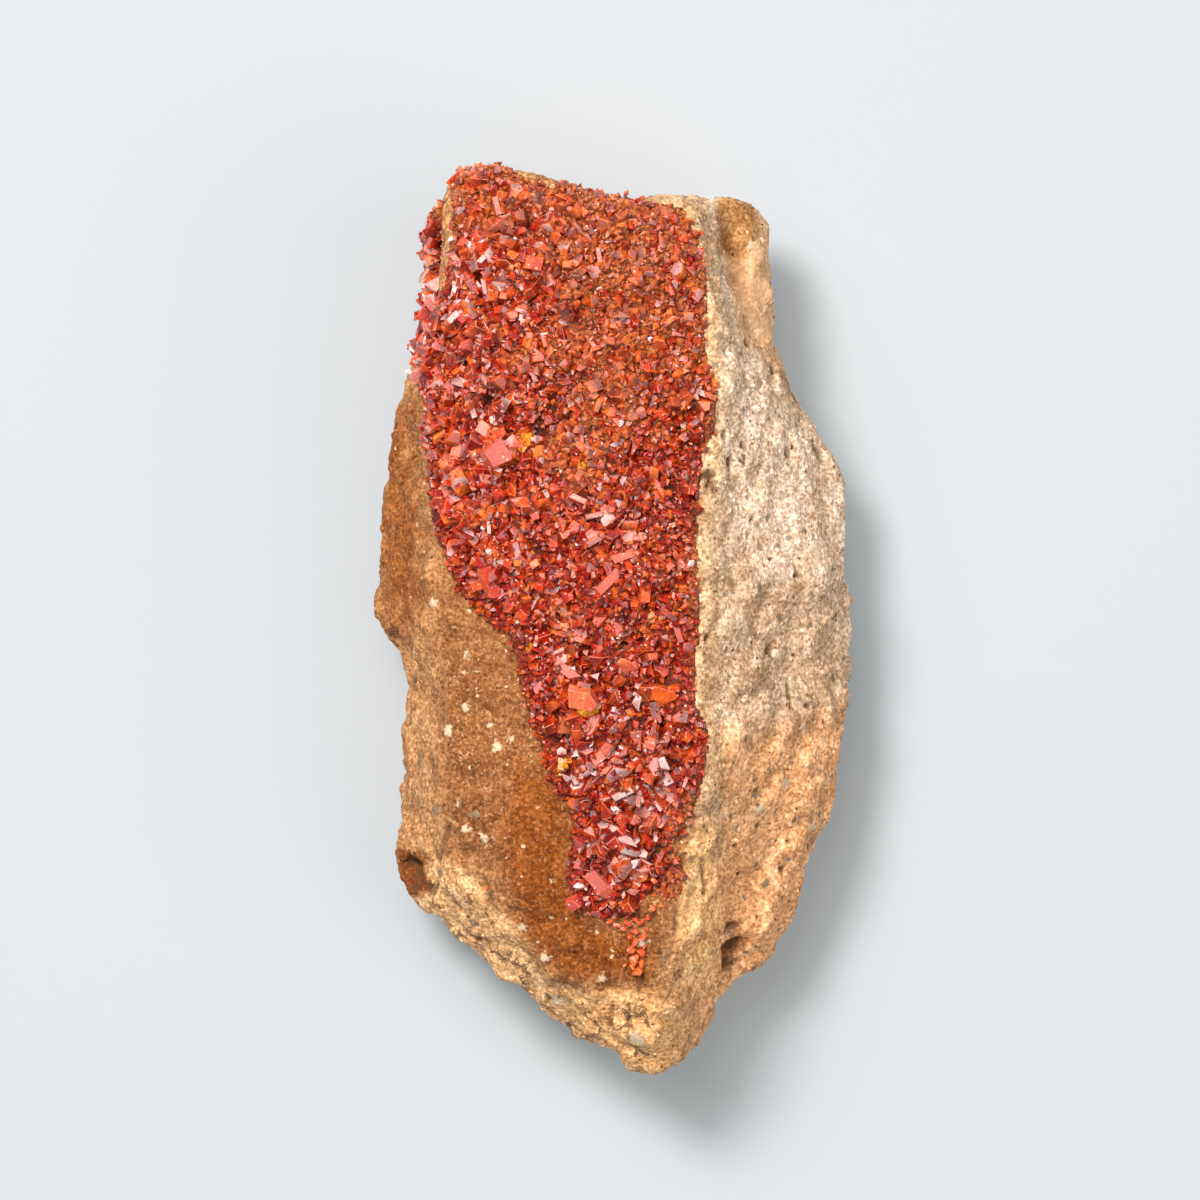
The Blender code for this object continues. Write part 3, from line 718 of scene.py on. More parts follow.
# %% Rock finish
TAN = (0.53, 0.255, 0.100)
PALE_CLAST = (0.68, 0.51, 0.33)
GREY_CLAST = (0.27, 0.175, 0.10)
SPECK = (0.62, 0.36, 0.18)
PIT_SHADE = (0.11, 0.050, 0.022)
SLATE = (0.27, 0.205, 0.16)
RUSTY_GRAIN = (0.23, 0.105, 0.045)


def rough_edge(share, noise_share, amount=0.9):
    """A zone's share with its edge broken up by noise."""
    return held((share + (noise_share - 0.5) * amount - 0.25) * 2.0)


def ragged(spot, size, amount):
    """The same coordinates shaken by noise, so that a cell's outline isn't round."""
    shake = add("ShaderNodeTexNoise", {"Vector": spot, "Scale": 1 / size, "Detail": 2.0})["Color"]
    push = vector_maths("SCALE", vector_maths("SUBTRACT", shake, (0.5, 0.5, 0.5)), amount)
    return vector_maths("ADD", spot, push)


def specks(spot, size, share, radius):
    """1 on scattered specks. share of the cells carry one, of this radius in cells."""
    number, middle = cell_value(spot, size)
    return (number < share) * held((radius - middle) * 9.0)


def build_rock_finish():
    made, shader = new_material("weathered_sandstone")
    spot = add("ShaderNodeTexCoord")["Object"]
    long_spot, tall_spot, streak_spot = (
        add("ShaderNodeMapping", {"Vector": spot, "Scale": scale})
        for scale in ((1.0, 0.8, 0.7), (1.0, 1.0, 0.7), (1.0, 0.5, 0.6))
    )
    shaken = ragged(tall_spot, 0.6 * MM, 0.8 * MM)
    torn = ragged(shaken, 0.4 * MM, 0.7 * MM)
    wild = ragged(shaken, 1.6 * MM, 2.4 * MM)
    noises = {"patches": noise_value(spot, 4.0 * MM), "mottle": noise_value(long_spot, 1.5 * MM, 4.0)}
    grit = noise_value(tall_spot, 0.34 * MM)
    number, middle = cell_value(shaken, 0.5 * MM)
    colour = TAN
    for name, (zone_colour, softness, noise_name, *outlines) in ZONES.items():
        colour = blend_colour(rough_edge(attribute(name), noises[noise_name]), colour, zone_colour)
    for value, low, high, dark, light in (
        (noises["mottle"], 0.34, 0.66, (0.82, 0.76, 0.70), (1.13, 1.17, 1.24)),
        (noises["patches"], 0.30, 0.70, (0.91, 0.89, 0.87), (1.08, 1.10, 1.12)),
        (noise_value(streak_spot, 2.2 * MM), 0.38, 0.62, (0.92, 0.88, 0.83), (1.07, 1.11, 1.17)),
        (grit, 0.39, 0.61, (0.66, 0.59, 0.52), (1.26, 1.34, 1.46)),
        (number, 0.0, 1.0, (0.74, 0.70, 0.66), (1.22, 1.28, 1.36)),
    ):
        colour = shade(colour, value, [(low, dark), ((low + high) / 2, WHITE), (high, light)])
    colour = shade(colour, attribute("tint"), [
        (0.0, WHITE), (0.01, (0.58, 0.53, 0.48)), (0.25, (0.88, 0.85, 0.82)), (0.8, (1.12, 1.14, 1.16)),
        (1.0, (1.38, 1.48, 1.60)),
    ])
    crumbled = attribute("break")
    sandy = held(attribute("stain") * 0.35 + 0.3 - attribute("damp") * 0.4)
    flank = maths("MAXIMUM", attribute("cream"), attribute("pink"))
    seams = add("ShaderNodeTexVoronoi", {"Vector": wild, "Scale": 1 / (3.6 * MM)}, feature="DISTANCE_TO_EDGE")
    for share, tone in (
        (rough_edge(attribute("pale"), grit, 1.8), PALE_CLAST),
        (rough_edge(attribute("grey"), grit, 1.4), GREY_CLAST),
        (specks(shaken, 0.75 * MM, 0.08, 0.28), PALE_CLAST),
        (specks(shaken, 0.45 * MM, 0.12, 0.40) * sandy, SPECK),
        (specks(shaken, 0.27 * MM, 0.18, 0.44) * sandy, SPECK),
        (specks(torn, 1.1 * MM, 0.17, 0.33) * flank * 0.85, SLATE),
        (specks(torn, 0.6 * MM, 0.15, 0.32) * flank * 0.85, RUSTY_GRAIN),
        (held(attribute("block") - attribute("rust")) * 0.45, BLOCK_COLOUR),
        # painted shade: the seams, the dark specks of small holes, and the pits and cracks take PIT_SHADE
        ((seams < 0.035) * (crumbled * (noises["patches"] > 0.50)) * 0.75, PIT_SHADE),
        (specks(shaken, 0.9 * MM, 0.13, 0.28) * crumbled * 0.8, PIT_SHADE),
        (specks(shaken, 1.3 * MM, 0.05, 0.30), GREY_CLAST),
        (specks(shaken, 0.6 * MM, 0.08, 0.30), PIT_SHADE),
        (attribute("dark") * 0.95, PIT_SHADE),
    ):
        colour = blend_colour(share, colour, tone)
    fill(shader, {
        "Base Color": colour, "Roughness": 0.9, "Specular IOR Level": 0.25,
        "Normal": bump(0.6, 0.13 * MM, middle * -0.5 + grit),
    })
    return made


def declare(piece, node):
    """Hides the frame's solid that a piece stands for, and attaches the piece to the root body."""
    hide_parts(node)
    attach(piece, "root")


rock_finish = build_rock_finish()
rock.data.materials.append(rock_finish)
rock_surface = rock.data.copy()
rock.data.shade_smooth()
declare(rock, "host_rock")
print("rock dressed, finish nodes", len(rock_finish.node_tree.nodes))

# %% [markdown]
# Crystals vary from place to place. They are coarse by the left border and at the point, and fine
# along the top and the right. Some areas carry a dull orange-brown dust, some are a deeper red, a
# few specks are yellow, and here and there a hollow opens. Each is a sum of soft round spots: x, y,
# radius and strength.

# %% How the druse varies
COARSE_SPOTS = [
    (-12.0, 34, 6.5, 0.75), (-13.0, 14, 6.5, 0.8), (-10.0, 4, 5, 0.5), (-3, -9, 5, 0.7),
    (0.5, -22, 7, 1.0), (3, -14, 5, 0.5), (-3, 10, 4, 0.4), (-19, 30, 7, 0.6),
]
DUST_SPOTS = [
    (-4, 41, 8, 0.8), (3, 36, 7, 0.7), (4, 24, 8, 0.55), (-3, 18, 4.5, 0.7), (-4, -1, 3, 0.5),
    (6.5, 4, 5, 0.4), (6.4, -25.5, 2.6, 0.9), (-12, 24, 3, 0.5), (-2, 28, 6, 0.5), (-14.5, 42, 4, 0.8),
    (7.5, -20, 2.5, 0.9), (-3.7, 13.6, 1.6, 0.9), (-6.3, 15.8, 1.3, 0.9), (-8.9, 26.3, 1.2, 0.8),
    (-6.2, 26.1, 1.2, 0.8), (-15.8, 28.4, 1.3, 0.8), (-12.0, 39.8, 1.4, 0.9), (-4.3, 33.8, 1.0, 0.9),
    (-4.5, -11.0, 1.2, 0.9), (1.4, -18.2, 1.1, 0.8), (3.5, -22.9, 1.0, 0.8),
]
DEEP_SPOTS = [(0.5, -22, 7, 1.0), (1, -7, 6, 0.8), (-2, -14, 5, 0.6), (-20, 26, 4, 0.5)]
YELLOW_SPOTS = [
    (-13.3, 19.7, 0.5, 0.9), (-11.9, 17.8, 0.45, 1), (-8.5, 17.5, 0.5, 0.9), (-3.4, 15.3, 0.5, 0.8),
    (-1.4, 10.3, 0.4, 1), (-5.1, -14.3, 0.45, 0.9), (-5.5, -15.4, 0.45, 0.9), (-2.8, -8.9, 0.5, 0.8),
    (-8.6, -3.1, 0.35, 1), (-12.6, 19.2, 0.4, 0.8), (-9.2, 17.9, 0.4, 0.8),
]
HOLLOW_SPOTS = [
    (-3.0, -4.3, 1.1, 1), (3.0, -23.5, 1.0, 1), (-7.5, 18.6, 1.2, 0.9), (-5.0, 19.5, 0.8, 0.9),
    (-3.2, 12.3, 0.9, 1), (-5.4, -11.8, 0.9, 0.9), (0.6, -3.0, 0.8, 0.9), (5.0, -6.3, 0.9, 0.9),
    (-6.5, 34.8, 0.8, 0.9), (3.2, -27.4, 0.9, 0.9), (-0.5, 30, 0.8, 0.8), (1.8, -10.4, 0.9, 0.9),
    (-11.6, 34.0, 0.6, 0.9), (-3.1, 34.0, 0.6, 0.9), (-10.4, 18.3, 0.8, 1), (-6.2, 20.8, 0.8, 1),
    (1.8, 16.2, 0.7, 0.9), (-12.5, 21.5, 0.7, 0.9), (5.6, 13.0, 0.6, 0.8), (-8.0, 12.0, 0.6, 0.9),
    (-13.8, 12.5, 0.6, 0.8), (-0.9, 1.0, 0.7, 0.9), (-7.5, 6.5, 0.6, 0.8), (3.8, 1.2, 0.6, 0.8),
    (4.6, -10.6, 0.7, 0.9), (-5.8, -9.4, 0.7, 0.9), (0.2, -12.4, 0.7, 0.9), (6.0, -14.0, 0.6, 0.9),
    (-1.2, -17.0, 0.6, 0.9), (-1.9, -23.4, 0.6, 0.9), (2.6, -21.0, 0.6, 0.9), (1.5, 38.0, 0.5, 0.7),
    (-15.0, 25.0, 0.6, 0.8), (-8.8, 38.6, 0.5, 0.8), (6.4, 18.8, 0.6, 0.8), (-2.4, 24.6, 0.6, 0.8),
    (1.5, -19.4, 0.6, 0.9), (-2.6, -20.6, 0.6, 0.9), (0.9, -28.2, 0.5, 0.9), (4.8, -22.6, 0.6, 0.9),
    (-0.6, -24.6, 0.5, 0.8), (-1.6, -6.0, 0.6, 0.9), (4.4, -3.4, 0.5, 0.8),
]


def sum_of_spots(spots, points):
    """Soft round spots added up, at each point, held between 0 and 1."""
    total = np.zeros(len(points))
    for x, y, radius, strength in spots:
        near = np.hypot(points[:, 0] - x, points[:, 1] - y) / radius
        total += strength * np.exp(-near * near)
    return np.clip(total, 0, 1)


print("spots", [len(spots) for spots in (COARSE_SPOTS, DUST_SPOTS, DEEP_SPOTS, YELLOW_SPOTS, HOLLOW_SPOTS)])

# %% [markdown]
# The crystals need a bed: the rock's own skin inside the outlines, raised by a quarter millimetre
# and rolling in low hills, with the hollows pressed in. The rise fades at the border, so the bed
# meets the rock without a step.

# %% Bed of the druse
BED_RISE = 0.25
BED_FADE = 0.9
BED_DEPTH = 1.2
HILLS = 1.3
HILL_WIDTH = 2.6
HOLLOW_DEPTH = 1.3
OVERLAP = 0.1
FINE_RIM = 1.6


def build_bed():
    """The rock's skin under the druse, raised, as an open sheet."""
    bed = show("bed_blank", skin_mesh)
    points = points_of(skin_mesh)
    normals = normals_of(skin_mesh)
    depth = druse_depth(points)
    rise = BED_RISE * np.clip(depth / BED_FADE + 0.15, -0.2, 1)
    spots = [Vector(point) / HILL_WIDTH for point in points]
    waves = [noise.noise(spot) + 0.5 * noise.noise(spot * 2) for spot in spots]
    rise += np.clip(depth, 0, 1) * HILLS * np.array(waves)
    rise -= HOLLOW_DEPTH * sum_of_spots(HOLLOW_SPOTS, points)
    work = bmesh.new()
    work.from_mesh(skin_mesh)
    outside = [vert for vert in work.verts if depth[vert.index] < -OVERLAP]
    bmesh.ops.delete(work, geom=outside, context="VERTS")
    mesh_from(work, skin_mesh)
    kept = depth >= -OVERLAP
    moved = points[kept] + normals[kept] * rise[kept, None]
    move_points(skin_mesh, moved)
    inland = np.clip(depth[kept] / FINE_RIM, 0, 1)
    store(skin_mesh, "coarse", sum_of_spots(COARSE_SPOTS, moved) * inland - (1 - inland))
    store(skin_mesh, "dust", np.clip(sum_of_spots(DUST_SPOTS, moved) + 0.5 * (1 - inland), 0, 1))
    for name, spots in (("deep", DEEP_SPOTS), ("yellow", YELLOW_SPOTS), ("hollow", HOLLOW_SPOTS)):
        store(skin_mesh, name, sum_of_spots(spots, moved))
    return bed


skin = build_bed()
print("bed skin faces", len(skin.data.polygons))

# %% [markdown]
# The skin becomes a closed sheet with Solidify, so that it has an inside like any real crust. Its
# finish is the druse's ground mass: crystals too small to tell apart, orange-brown where dust has
# settled and dark red elsewhere. The dark red is partly the ground's own colour and partly painted
# shade for the gaps between the crystals, and the hollows are painted near black as painted shade.

# %% Ground of the druse
def build_ground_finish():
    made, shader = new_material("crocoite_ground")
    spot = add("ShaderNodeTexCoord")["Object"]
    number, middle = cell_value(spot, 0.26 * MM)
    # dark red: partly the ground's own colour, partly painted shade for the gaps between crystals
    deep = ramp(number, [
        (0.0, (0.06, 0.004, 0.003)), (0.6, (0.20, 0.012, 0.005)), (1.0, (0.40, 0.05, 0.012)),
    ])
    dusty = ramp(number, [
        (0.0, (0.12, 0.022, 0.006)), (0.55, (0.38, 0.090, 0.018)), (1.0, (0.58, 0.18, 0.04)),
    ])
    colour = blend_colour(rough_edge(attribute("dust"), noise_value(spot, 0.9 * MM)), deep, dusty)
    # painted shade: the ground in the hollows is painted near black
    colour = blend_colour(attribute("hollow"), colour, (0.045, 0.012, 0.006))
    normal = bump(0.9, 0.15 * MM, middle * -1.0)
    fill(shader, {"Base Color": colour, "Roughness": 0.6, "IOR": 1.5, "Normal": normal})
    return made


thick = skin.modifiers.new("thick", "SOLIDIFY")
thick.thickness = BED_DEPTH * MM
thick.offset = -1
bed_surface = skin.data.copy()
bed = settle(skin, "druse_bed")
bed.data.materials.append(build_ground_finish())
bed.data.shade_smooth()
declare(bed, "crocoite_crust")
print("bed triangles", triangles(bed))

# %% [markdown]
# A crocoite crystal is a leaning four-sided prism that ends in slanting faces. Each prism starts as
# a box, is sheared, and has its top cut by planes that meet near its axis, so it ends in an edge or
# a point. Where crystals have grown into each other only corners stick out, and the hull of a few
# scattered points makes such a shard. Both are closed solids with about a dozen faces. Each face
# carries a number of its own, which the finish turns into painted light and shade on that face,
# as no two faces of a crystal send back the same light.

# %% Crystal kinds
SUNK = 0.35


def prism_solid(chance, width, depth, height, cuts, bevel=0.0):
    """A crystal that stands on z = 0 and points up, as a bmesh."""
    work = bmesh.new()
    bmesh.ops.create_cube(work, size=1.0)
    lean_x, lean_y = chance.uniform(-0.25, 0.25), chance.uniform(-0.2, 0.2)
    skew = chance.uniform(-0.3, 0.3)
    for vert in work.verts:
        x, y, z = vert.co.x * width, vert.co.y * depth, (vert.co.z + 0.5) * height
        vert.co = (x + skew * y + lean_x * z, y + lean_y * z, z)
    first = chance.uniform(0, 2 * math.pi)
    for index in range(cuts):
        turn = first + index * 2 * math.pi / cuts + chance.uniform(-0.5, 0.5)
        slope = math.radians(chance.uniform(25, 50) if cuts > 1 else chance.uniform(5, 30))
        normal = Vector((math.cos(turn) * math.sin(slope), math.sin(turn) * math.sin(slope), math.cos(slope)))
        through = Vector((lean_x, lean_y, 1)) * height * chance.uniform(0.8, 1.0)
        cut = bmesh.ops.bisect_plane(
            work, geom=list(work.verts) + list(work.edges) + list(work.faces), plane_co=through,
            plane_no=normal, clear_outer=True, dist=0.0001 * height,
        )
        rim = [item for item in cut["geom_cut"] if isinstance(item, bmesh.types.BMEdge)]
        if rim:
            bmesh.ops.holes_fill(work, edges=rim)
    # the bevel's faces are marked as rims, which the finish paints a brighter orange as a painted glow
    rim = work.faces.layers.float.new("rim")
    if bevel:
        made = bmesh.ops.bevel(
            work, geom=list(work.edges), offset=bevel, offset_type="OFFSET", segments=1, affect="EDGES",
            clamp_overlap=True,
        )
        for face in made["faces"]:
            face[rim] = 1.0
    bmesh.ops.recalc_face_normals(work, faces=work.faces)
    return work


def shard_solid(chance, width, depth, height, corners):
    """The hull of points near an egg's surface: a crystal corner with three-sided faces."""
    work = bmesh.new()
    for index in range(corners):
        spoke = Vector([chance.gauss(0, 1) for axis in range(3)]).normalized() * chance.uniform(0.85, 1)
        work.verts.new((spoke.x * width / 2, spoke.y * depth / 2, (spoke.z + 1) * height / 2))
    bmesh.ops.convex_hull(work, input=work.verts)
    bmesh.ops.delete(work, geom=[v for v in work.verts if not v.link_faces], context="VERTS")
    bmesh.ops.recalc_face_normals(work, faces=work.faces)
    return work


def crystal_kinds(name, seed, rows, bevel=0.0):
    """A collection of crystal meshes about one unit wide."""
    chance = random.Random(seed)
    collection = bpy.data.collections.new(name)
    for index, (shape, width, depth, height, count) in enumerate(rows):
        if shape == "prism":
            work = prism_solid(chance, width, depth, height, count, bevel)
        else:
            work = shard_solid(chance, width, depth, height, count)
        for vert in work.verts:
            vert.co.z -= SUNK
        facet = work.faces.layers.float.new("facet")
        for face in work.faces:
            face[facet] = chance.uniform(0, 0.95 if bevel else 1)
        mesh = mesh_from(work, bpy.data.meshes.new(f"{name}_{index}"))
        store(mesh, "along", [(vert.co.z + SUNK) / height for vert in mesh.vertices])
        collection.objects.link(bpy.data.objects.new(mesh.name, mesh))
    return collection


SMALL_ROWS = [
    # shape, width, depth, height, cuts or corners
    ("prism", 1.0, 0.8, 1.1, 3), ("shard", 1.2, 0.9, 1.0, 9), ("prism", 0.9, 0.6, 1.3, 2),
    ("shard", 1.3, 0.7, 1.2, 8), ("prism", 1.1, 0.5, 1.2, 1), ("shard", 1.0, 1.0, 1.3, 9),
    ("prism", 0.8, 0.8, 1.2, 4), ("shard", 1.4, 1.0, 0.8, 10), ("prism", 1.2, 0.9, 1.0, 2),
    ("shard", 0.8, 0.7, 1.5, 8),
]
LARGE_ROWS = [
    ("prism", 1.0, 0.8, 1.2, 3), ("shard", 1.3, 0.9, 1.1, 10), ("prism", 1.1, 0.6, 1.3, 2),
    ("shard", 1.5, 0.8, 1.0, 9), ("prism", 0.9, 0.9, 1.2, 4), ("prism", 1.0, 0.5, 1.4, 2),
    ("shard", 1.1, 1.1, 1.2, 11), ("prism", 1.2, 0.9, 1.0, 3), ("prism", 0.9, 0.8, 1.1, 1),
    ("shard", 1.5, 0.6, 1.3, 8), ("prism", 1.3, 0.4, 1.2, 1), ("prism", 0.6, 0.6, 1.6, 2),
    ("shard", 1.2, 1.0, 1.0, 9), ("prism", 1.1, 1.0, 1.1, 3),
]
small_kinds = crystal_kinds("small_crystal", 5, SMALL_ROWS)
large_kinds = crystal_kinds("large_crystal", 8, LARGE_ROWS, bevel=0.035)

# %% [markdown]
# Crocoite is translucent, and its true index of refraction is near that of diamond, so its faces
# flash. 1.85 is enough here, as the faces are etched and slightly dusty. The base colour runs from
# deep red to orange by a number that each crystal carries. Light and shade are painted in as well:
# each facet is made lighter or darker by its own number, the brightest facets and the crystals given
# a painted glint take a pale painted reflection, pale specks are painted glints, each crystal's foot
# takes painted shade, and the bevelled rims a painted orange glow. A fine, sugary noise breaks the
# colour up. Dusty crystals are paler and duller, and a few carry a yellow film.

# %% Crystal finish
CRYSTAL_IOR = 1.85
CRYSTAL_COLOURS = [
    (0.0, (0.24, 0.005, 0.004)), (0.3, (0.49, 0.018, 0.007)), (0.55, (0.66, 0.055, 0.012)),
    (0.85, (0.79, 0.14, 0.016)), (1.0, (0.83, 0.25, 0.07)),
]
DUST_COLOUR = (0.64, 0.160, 0.024)
PAINTED_REFLECTION_COLOURS = ((0.68, 0.23, 0.18), (0.88, 0.62, 0.58))


def build_crystal_finish():
    made, shader = new_material("crocoite_crystal")
    spot = add("ShaderNodeTexCoord")["Object"]
    inner = noise_value(spot, 0.35 * MM)
    patch = noise_value(spot, 2.6 * MM, 2.0)
    colour = ramp(attribute("tint") * 0.7 + 0.15 + (inner - 0.5) * 0.9 + (patch - 0.5), CRYSTAL_COLOURS)
    dust = rough_edge(attribute("dust") * 0.5 + 0.08, noise_value(spot, 1.6 * MM, 4.0), 2.2)
    colour = blend_colour(dust * 0.75, colour, DUST_COLOUR)
    facet = attribute("facet")
    # painted light and shade: each facet is made darker or lighter, up to pinkish white, by its own number
    colour = shade(colour, facet, [
        (0.0, (0.50, 0.38, 0.40)), (0.45, (0.98, 0.98, 0.98)), (0.8, (1.2, 1.4, 1.3)), (1.0, (1.3, 1.8, 1.6)),
    ])
    colour = shade(colour, attribute("deep"), [(0.0, WHITE), (1.0, (0.76, 0.62, 0.72))])
    # painted reflection: the facets with the highest numbers, and crystals given a painted glint, are painted
    # pale pink to near white
    painted_reflection = held((facet + attribute("coarse") * 0.06 - 0.875) * 12.0) * 0.95
    bloom = maths("MAXIMUM", attribute("bloom"), painted_reflection) * 2.0
    colour = blend_colour(held(bloom + 0.0), colour, PAINTED_REFLECTION_COLOURS[0])
    colour = blend_colour(held(bloom - 1.0), colour, PAINTED_REFLECTION_COLOURS[1])
    sugar = noise_value(spot, 0.15 * MM)
    colour = shade(colour, sugar, [(0.38, (0.80, 0.72, 0.70)), (0.5, WHITE), (0.62, (1.14, 1.26, 1.30))])
    # painted glints: scattered pale pink specks
    painted_glint_specks = specks(ragged(spot, 0.22 * MM, 0.26 * MM), 0.36 * MM, 0.06, 0.38)
    colour = blend_colour(painted_glint_specks, colour, (0.86, 0.54, 0.47))
    # painted shade: each crystal is darker towards its foot, where it stands among the others
    colour = shade(colour, attribute("along"), [(0.25, (0.30, 0.20, 0.20)), (0.8, WHITE)])
    # painted glow: the bevelled rims are painted a brighter orange, as of light through thin edges
    colour = blend_colour(attribute("rim") * 0.5, colour, (0.80, 0.12, 0.012))
    film = rough_edge(attribute("yellow"), noise_value(spot, 0.3 * MM, 2.0), 1.4)
    fill(shader, {
        "Base Color": blend_colour(film, colour, (0.88, 0.40, 0.030)),
        "Roughness": dust * 0.40 + inner * 0.16 + 0.09, "IOR": CRYSTAL_IOR,
        "Subsurface Weight": 0.3, "Subsurface Radius": (1.0, 0.22, 0.05), "Subsurface Scale": 0.45 * MM,
        "Normal": bump(0.4, 0.06 * MM, noise_value(spot, 0.22 * MM, 1.0)),
    })
    return made


crystal_finish = build_crystal_finish()
print("crystal index", CRYSTAL_IOR)

# %% [markdown]
# Thousands of crystals follow one rule, which is work for Geometry Nodes: scatter points on the bed
# with a least spacing, stand a crystal of a random kind on each, and tip and turn it at random. The
# points inherit what the bed stores, so crystals are larger on coarse areas and carry the dust. The
# tree ends in real geometry with its finish on.

# %% Scatter tree
FIRST_SOCKET = {"FLOAT_VECTOR": 0, "FLOAT": 2, "INT": 4}


def random_value(kind, low, high, seed):
    first = FIRST_SOCKET[kind]
    made = add("FunctionNodeRandomValue", {first: low, first + 1: high, "Seed": seed}, data_type=kind)
    return made[first // 2]


def named(name):
    return add("GeometryNodeInputNamedAttribute", {"Name": name}, data_type="FLOAT")


def build_scatter_tree():
    tree, entry = new_tree("druse_scatter", {
        "Kinds": "Collection", "Last Kind": "Int", "Spacing": "Float", "Smallest": "Float",
        "Largest": "Float", "Coarse Growth": "Float", "Coarse Only": "Float", "Tip": "Float",
        "Seed": "Int", "Finish": "Material",
    })
    seed = entry["Seed"]
    coarse = named("coarse")
    wanted = coarse * entry["Coarse Only"] + (1.0 - entry["Coarse Only"])
    points = add("GeometryNodeDistributePointsOnFaces", {
        "Mesh": entry["Geometry"], "Distance Min": entry["Spacing"],
        "Density Max": maths("DIVIDE", 3.0, entry["Spacing"] * entry["Spacing"]),
        "Density Factor": named("cover") * wanted, "Seed": seed,
    }, distribute_method="POISSON")
    chance = random_value("FLOAT", 0.0, 1.0, seed)
    size = chance * chance * (entry["Largest"] - entry["Smallest"]) + entry["Smallest"]
    swing = random_value("FLOAT_VECTOR", (-1, -1, -3.14159), (1, 1, 3.14159), seed + 1.0)
    reach = add("ShaderNodeCombineXYZ", {0: entry["Tip"], 1: entry["Tip"], 2: 1.0})
    turned = add(
        "FunctionNodeRotateRotation", {0: points["Rotation"], 1: vector_maths("MULTIPLY", swing, reach)},
        rotation_space="LOCAL",
    )
    kinds = add(
        "GeometryNodeCollectionInfo",
        {"Collection": entry["Kinds"], "Separate Children": True, "Reset Children": True},
    )
    stood = add("GeometryNodeInstanceOnPoints", {
        "Points": points, "Instance": kinds, "Pick Instance": True,
        "Instance Index": random_value("INT", 0, entry["Last Kind"], seed + 2.0), "Rotation": turned,
        "Scale": size * (coarse * entry["Coarse Growth"] + 1.0),
    })
    tinted = add(
        "GeometryNodeStoreNamedAttribute",
        {"Geometry": stood, "Name": "tint", "Value": random_value("FLOAT", 0.0, 1.0, seed + 3.0)},
        data_type="FLOAT", domain="INSTANCE",
    )
    real = add("GeometryNodeRealizeInstances", {"Geometry": tinted})
    end_tree(add("GeometryNodeSetMaterial", {"Geometry": real, "Material": entry["Finish"]}))
    return tree


scatter = build_scatter_tree()
print("scatter inputs", [item.name for item in scatter.interface.items_tree if item.in_out == "INPUT"])

# %% [markdown]
# Three runs of the same tree give three sizes: fine crystals everywhere, medium ones over them, and
# bold ones mostly where the druse is coarse. A fourth run sets crumbs on the medium ones, because
# in a real druse the late, small crystals sit on the faces of the early ones. Each run has its own
# seed, so the lesson gives the same druse every time.

# %% Crystals of the druse
LAYERS = [
    # name, kinds, spacing, smallest, largest, growth, coarse only, tip, seed
    ("fine_crystals", small_kinds, 0.42, 0.46, 0.95, 0.30, 0.0, 1.1, 21),
    ("medium_crystals", large_kinds, 0.82, 0.74, 1.50, 0.40, 0.25, 1.0, 47),
    ("bold_crystals", large_kinds, 2.0, 1.15, 1.7, 0.30, 0.8, 0.8, 93),
]
CRUMBS = (small_kinds, 0.60, 0.20, 0.48, 0.0, 0.0, 1.2, 61)


def grow(name, surface, finish, kinds, spacing, smallest, largest, growth, coarse_only, tip, seed):
    """Scatters the kinds over a surface and returns the result as one plain mesh. Sizes in mm."""
    carrier = show(name + "_carrier", surface.copy())
    run_tree(carrier, scatter, {
        "Kinds": kinds, "Last Kind": len(kinds.objects) - 1, "Spacing": spacing * MM,
        "Smallest": smallest * MM, "Largest": largest * MM, "Coarse Growth": growth,
        "Coarse Only": coarse_only, "Tip": tip, "Seed": seed, "Finish": finish,
    })
    made = settle(carrier, name)
    made.data.materials.clear()
    made.data.materials.append(finish)
    print(name, "triangles", triangles(made))
    return made


bed_points = points_of(bed_surface)
bed_cover = np.clip(druse_depth(bed_points) / 0.8 + 0.3, 0, 1) * (1 - sum_of_spots(HOLLOW_SPOTS, bed_points))
store(bed_surface, "cover", bed_cover)
for name, *sizes in LAYERS:
    layer = grow(name, bed_surface, crystal_finish, *sizes)
    declare(layer, "crocoite_crust")
    if name == "medium_crystals":
        crumb_surface = layer.data.copy()
facing = np.clip(normals_of(crumb_surface)[:, 2] * 2, 0, 1)
crumb_surface.attributes["cover"].data.foreach_set("value", facing.astype(np.float32))
crumbs = grow("crumb_crystals", crumb_surface, crystal_finish, *CRUMBS)
declare(crumbs, "crocoite_crust")
bpy.data.meshes.remove(crumb_surface)

# %% [markdown]
# The rock's surface is loose sand held by a fine cement, so single grains stand out of it. They use
# the same tree. A grain is a dented ball with twenty faces; the few larger clasts have eighty. Under
# the druse and on the base there are none.

# %% Sand grains
GRAIN_KINDS = 6
GRAIN_DENT = 0.528
GRAIN_SINK = 0.3
GRAIN_TIP = 0.4
BASE_MARGIN = 0.8
DRUSE_MARGIN = 0.3
GRAIN_LAYERS = [
    # name, rounds of subdivision, spacing, smallest, largest, seed
    ("sand_grains", 1, 0.66, 0.12, 0.28, 5),
    ("sand_clasts", 2, 2.8, 0.28, 0.60, 9),
]


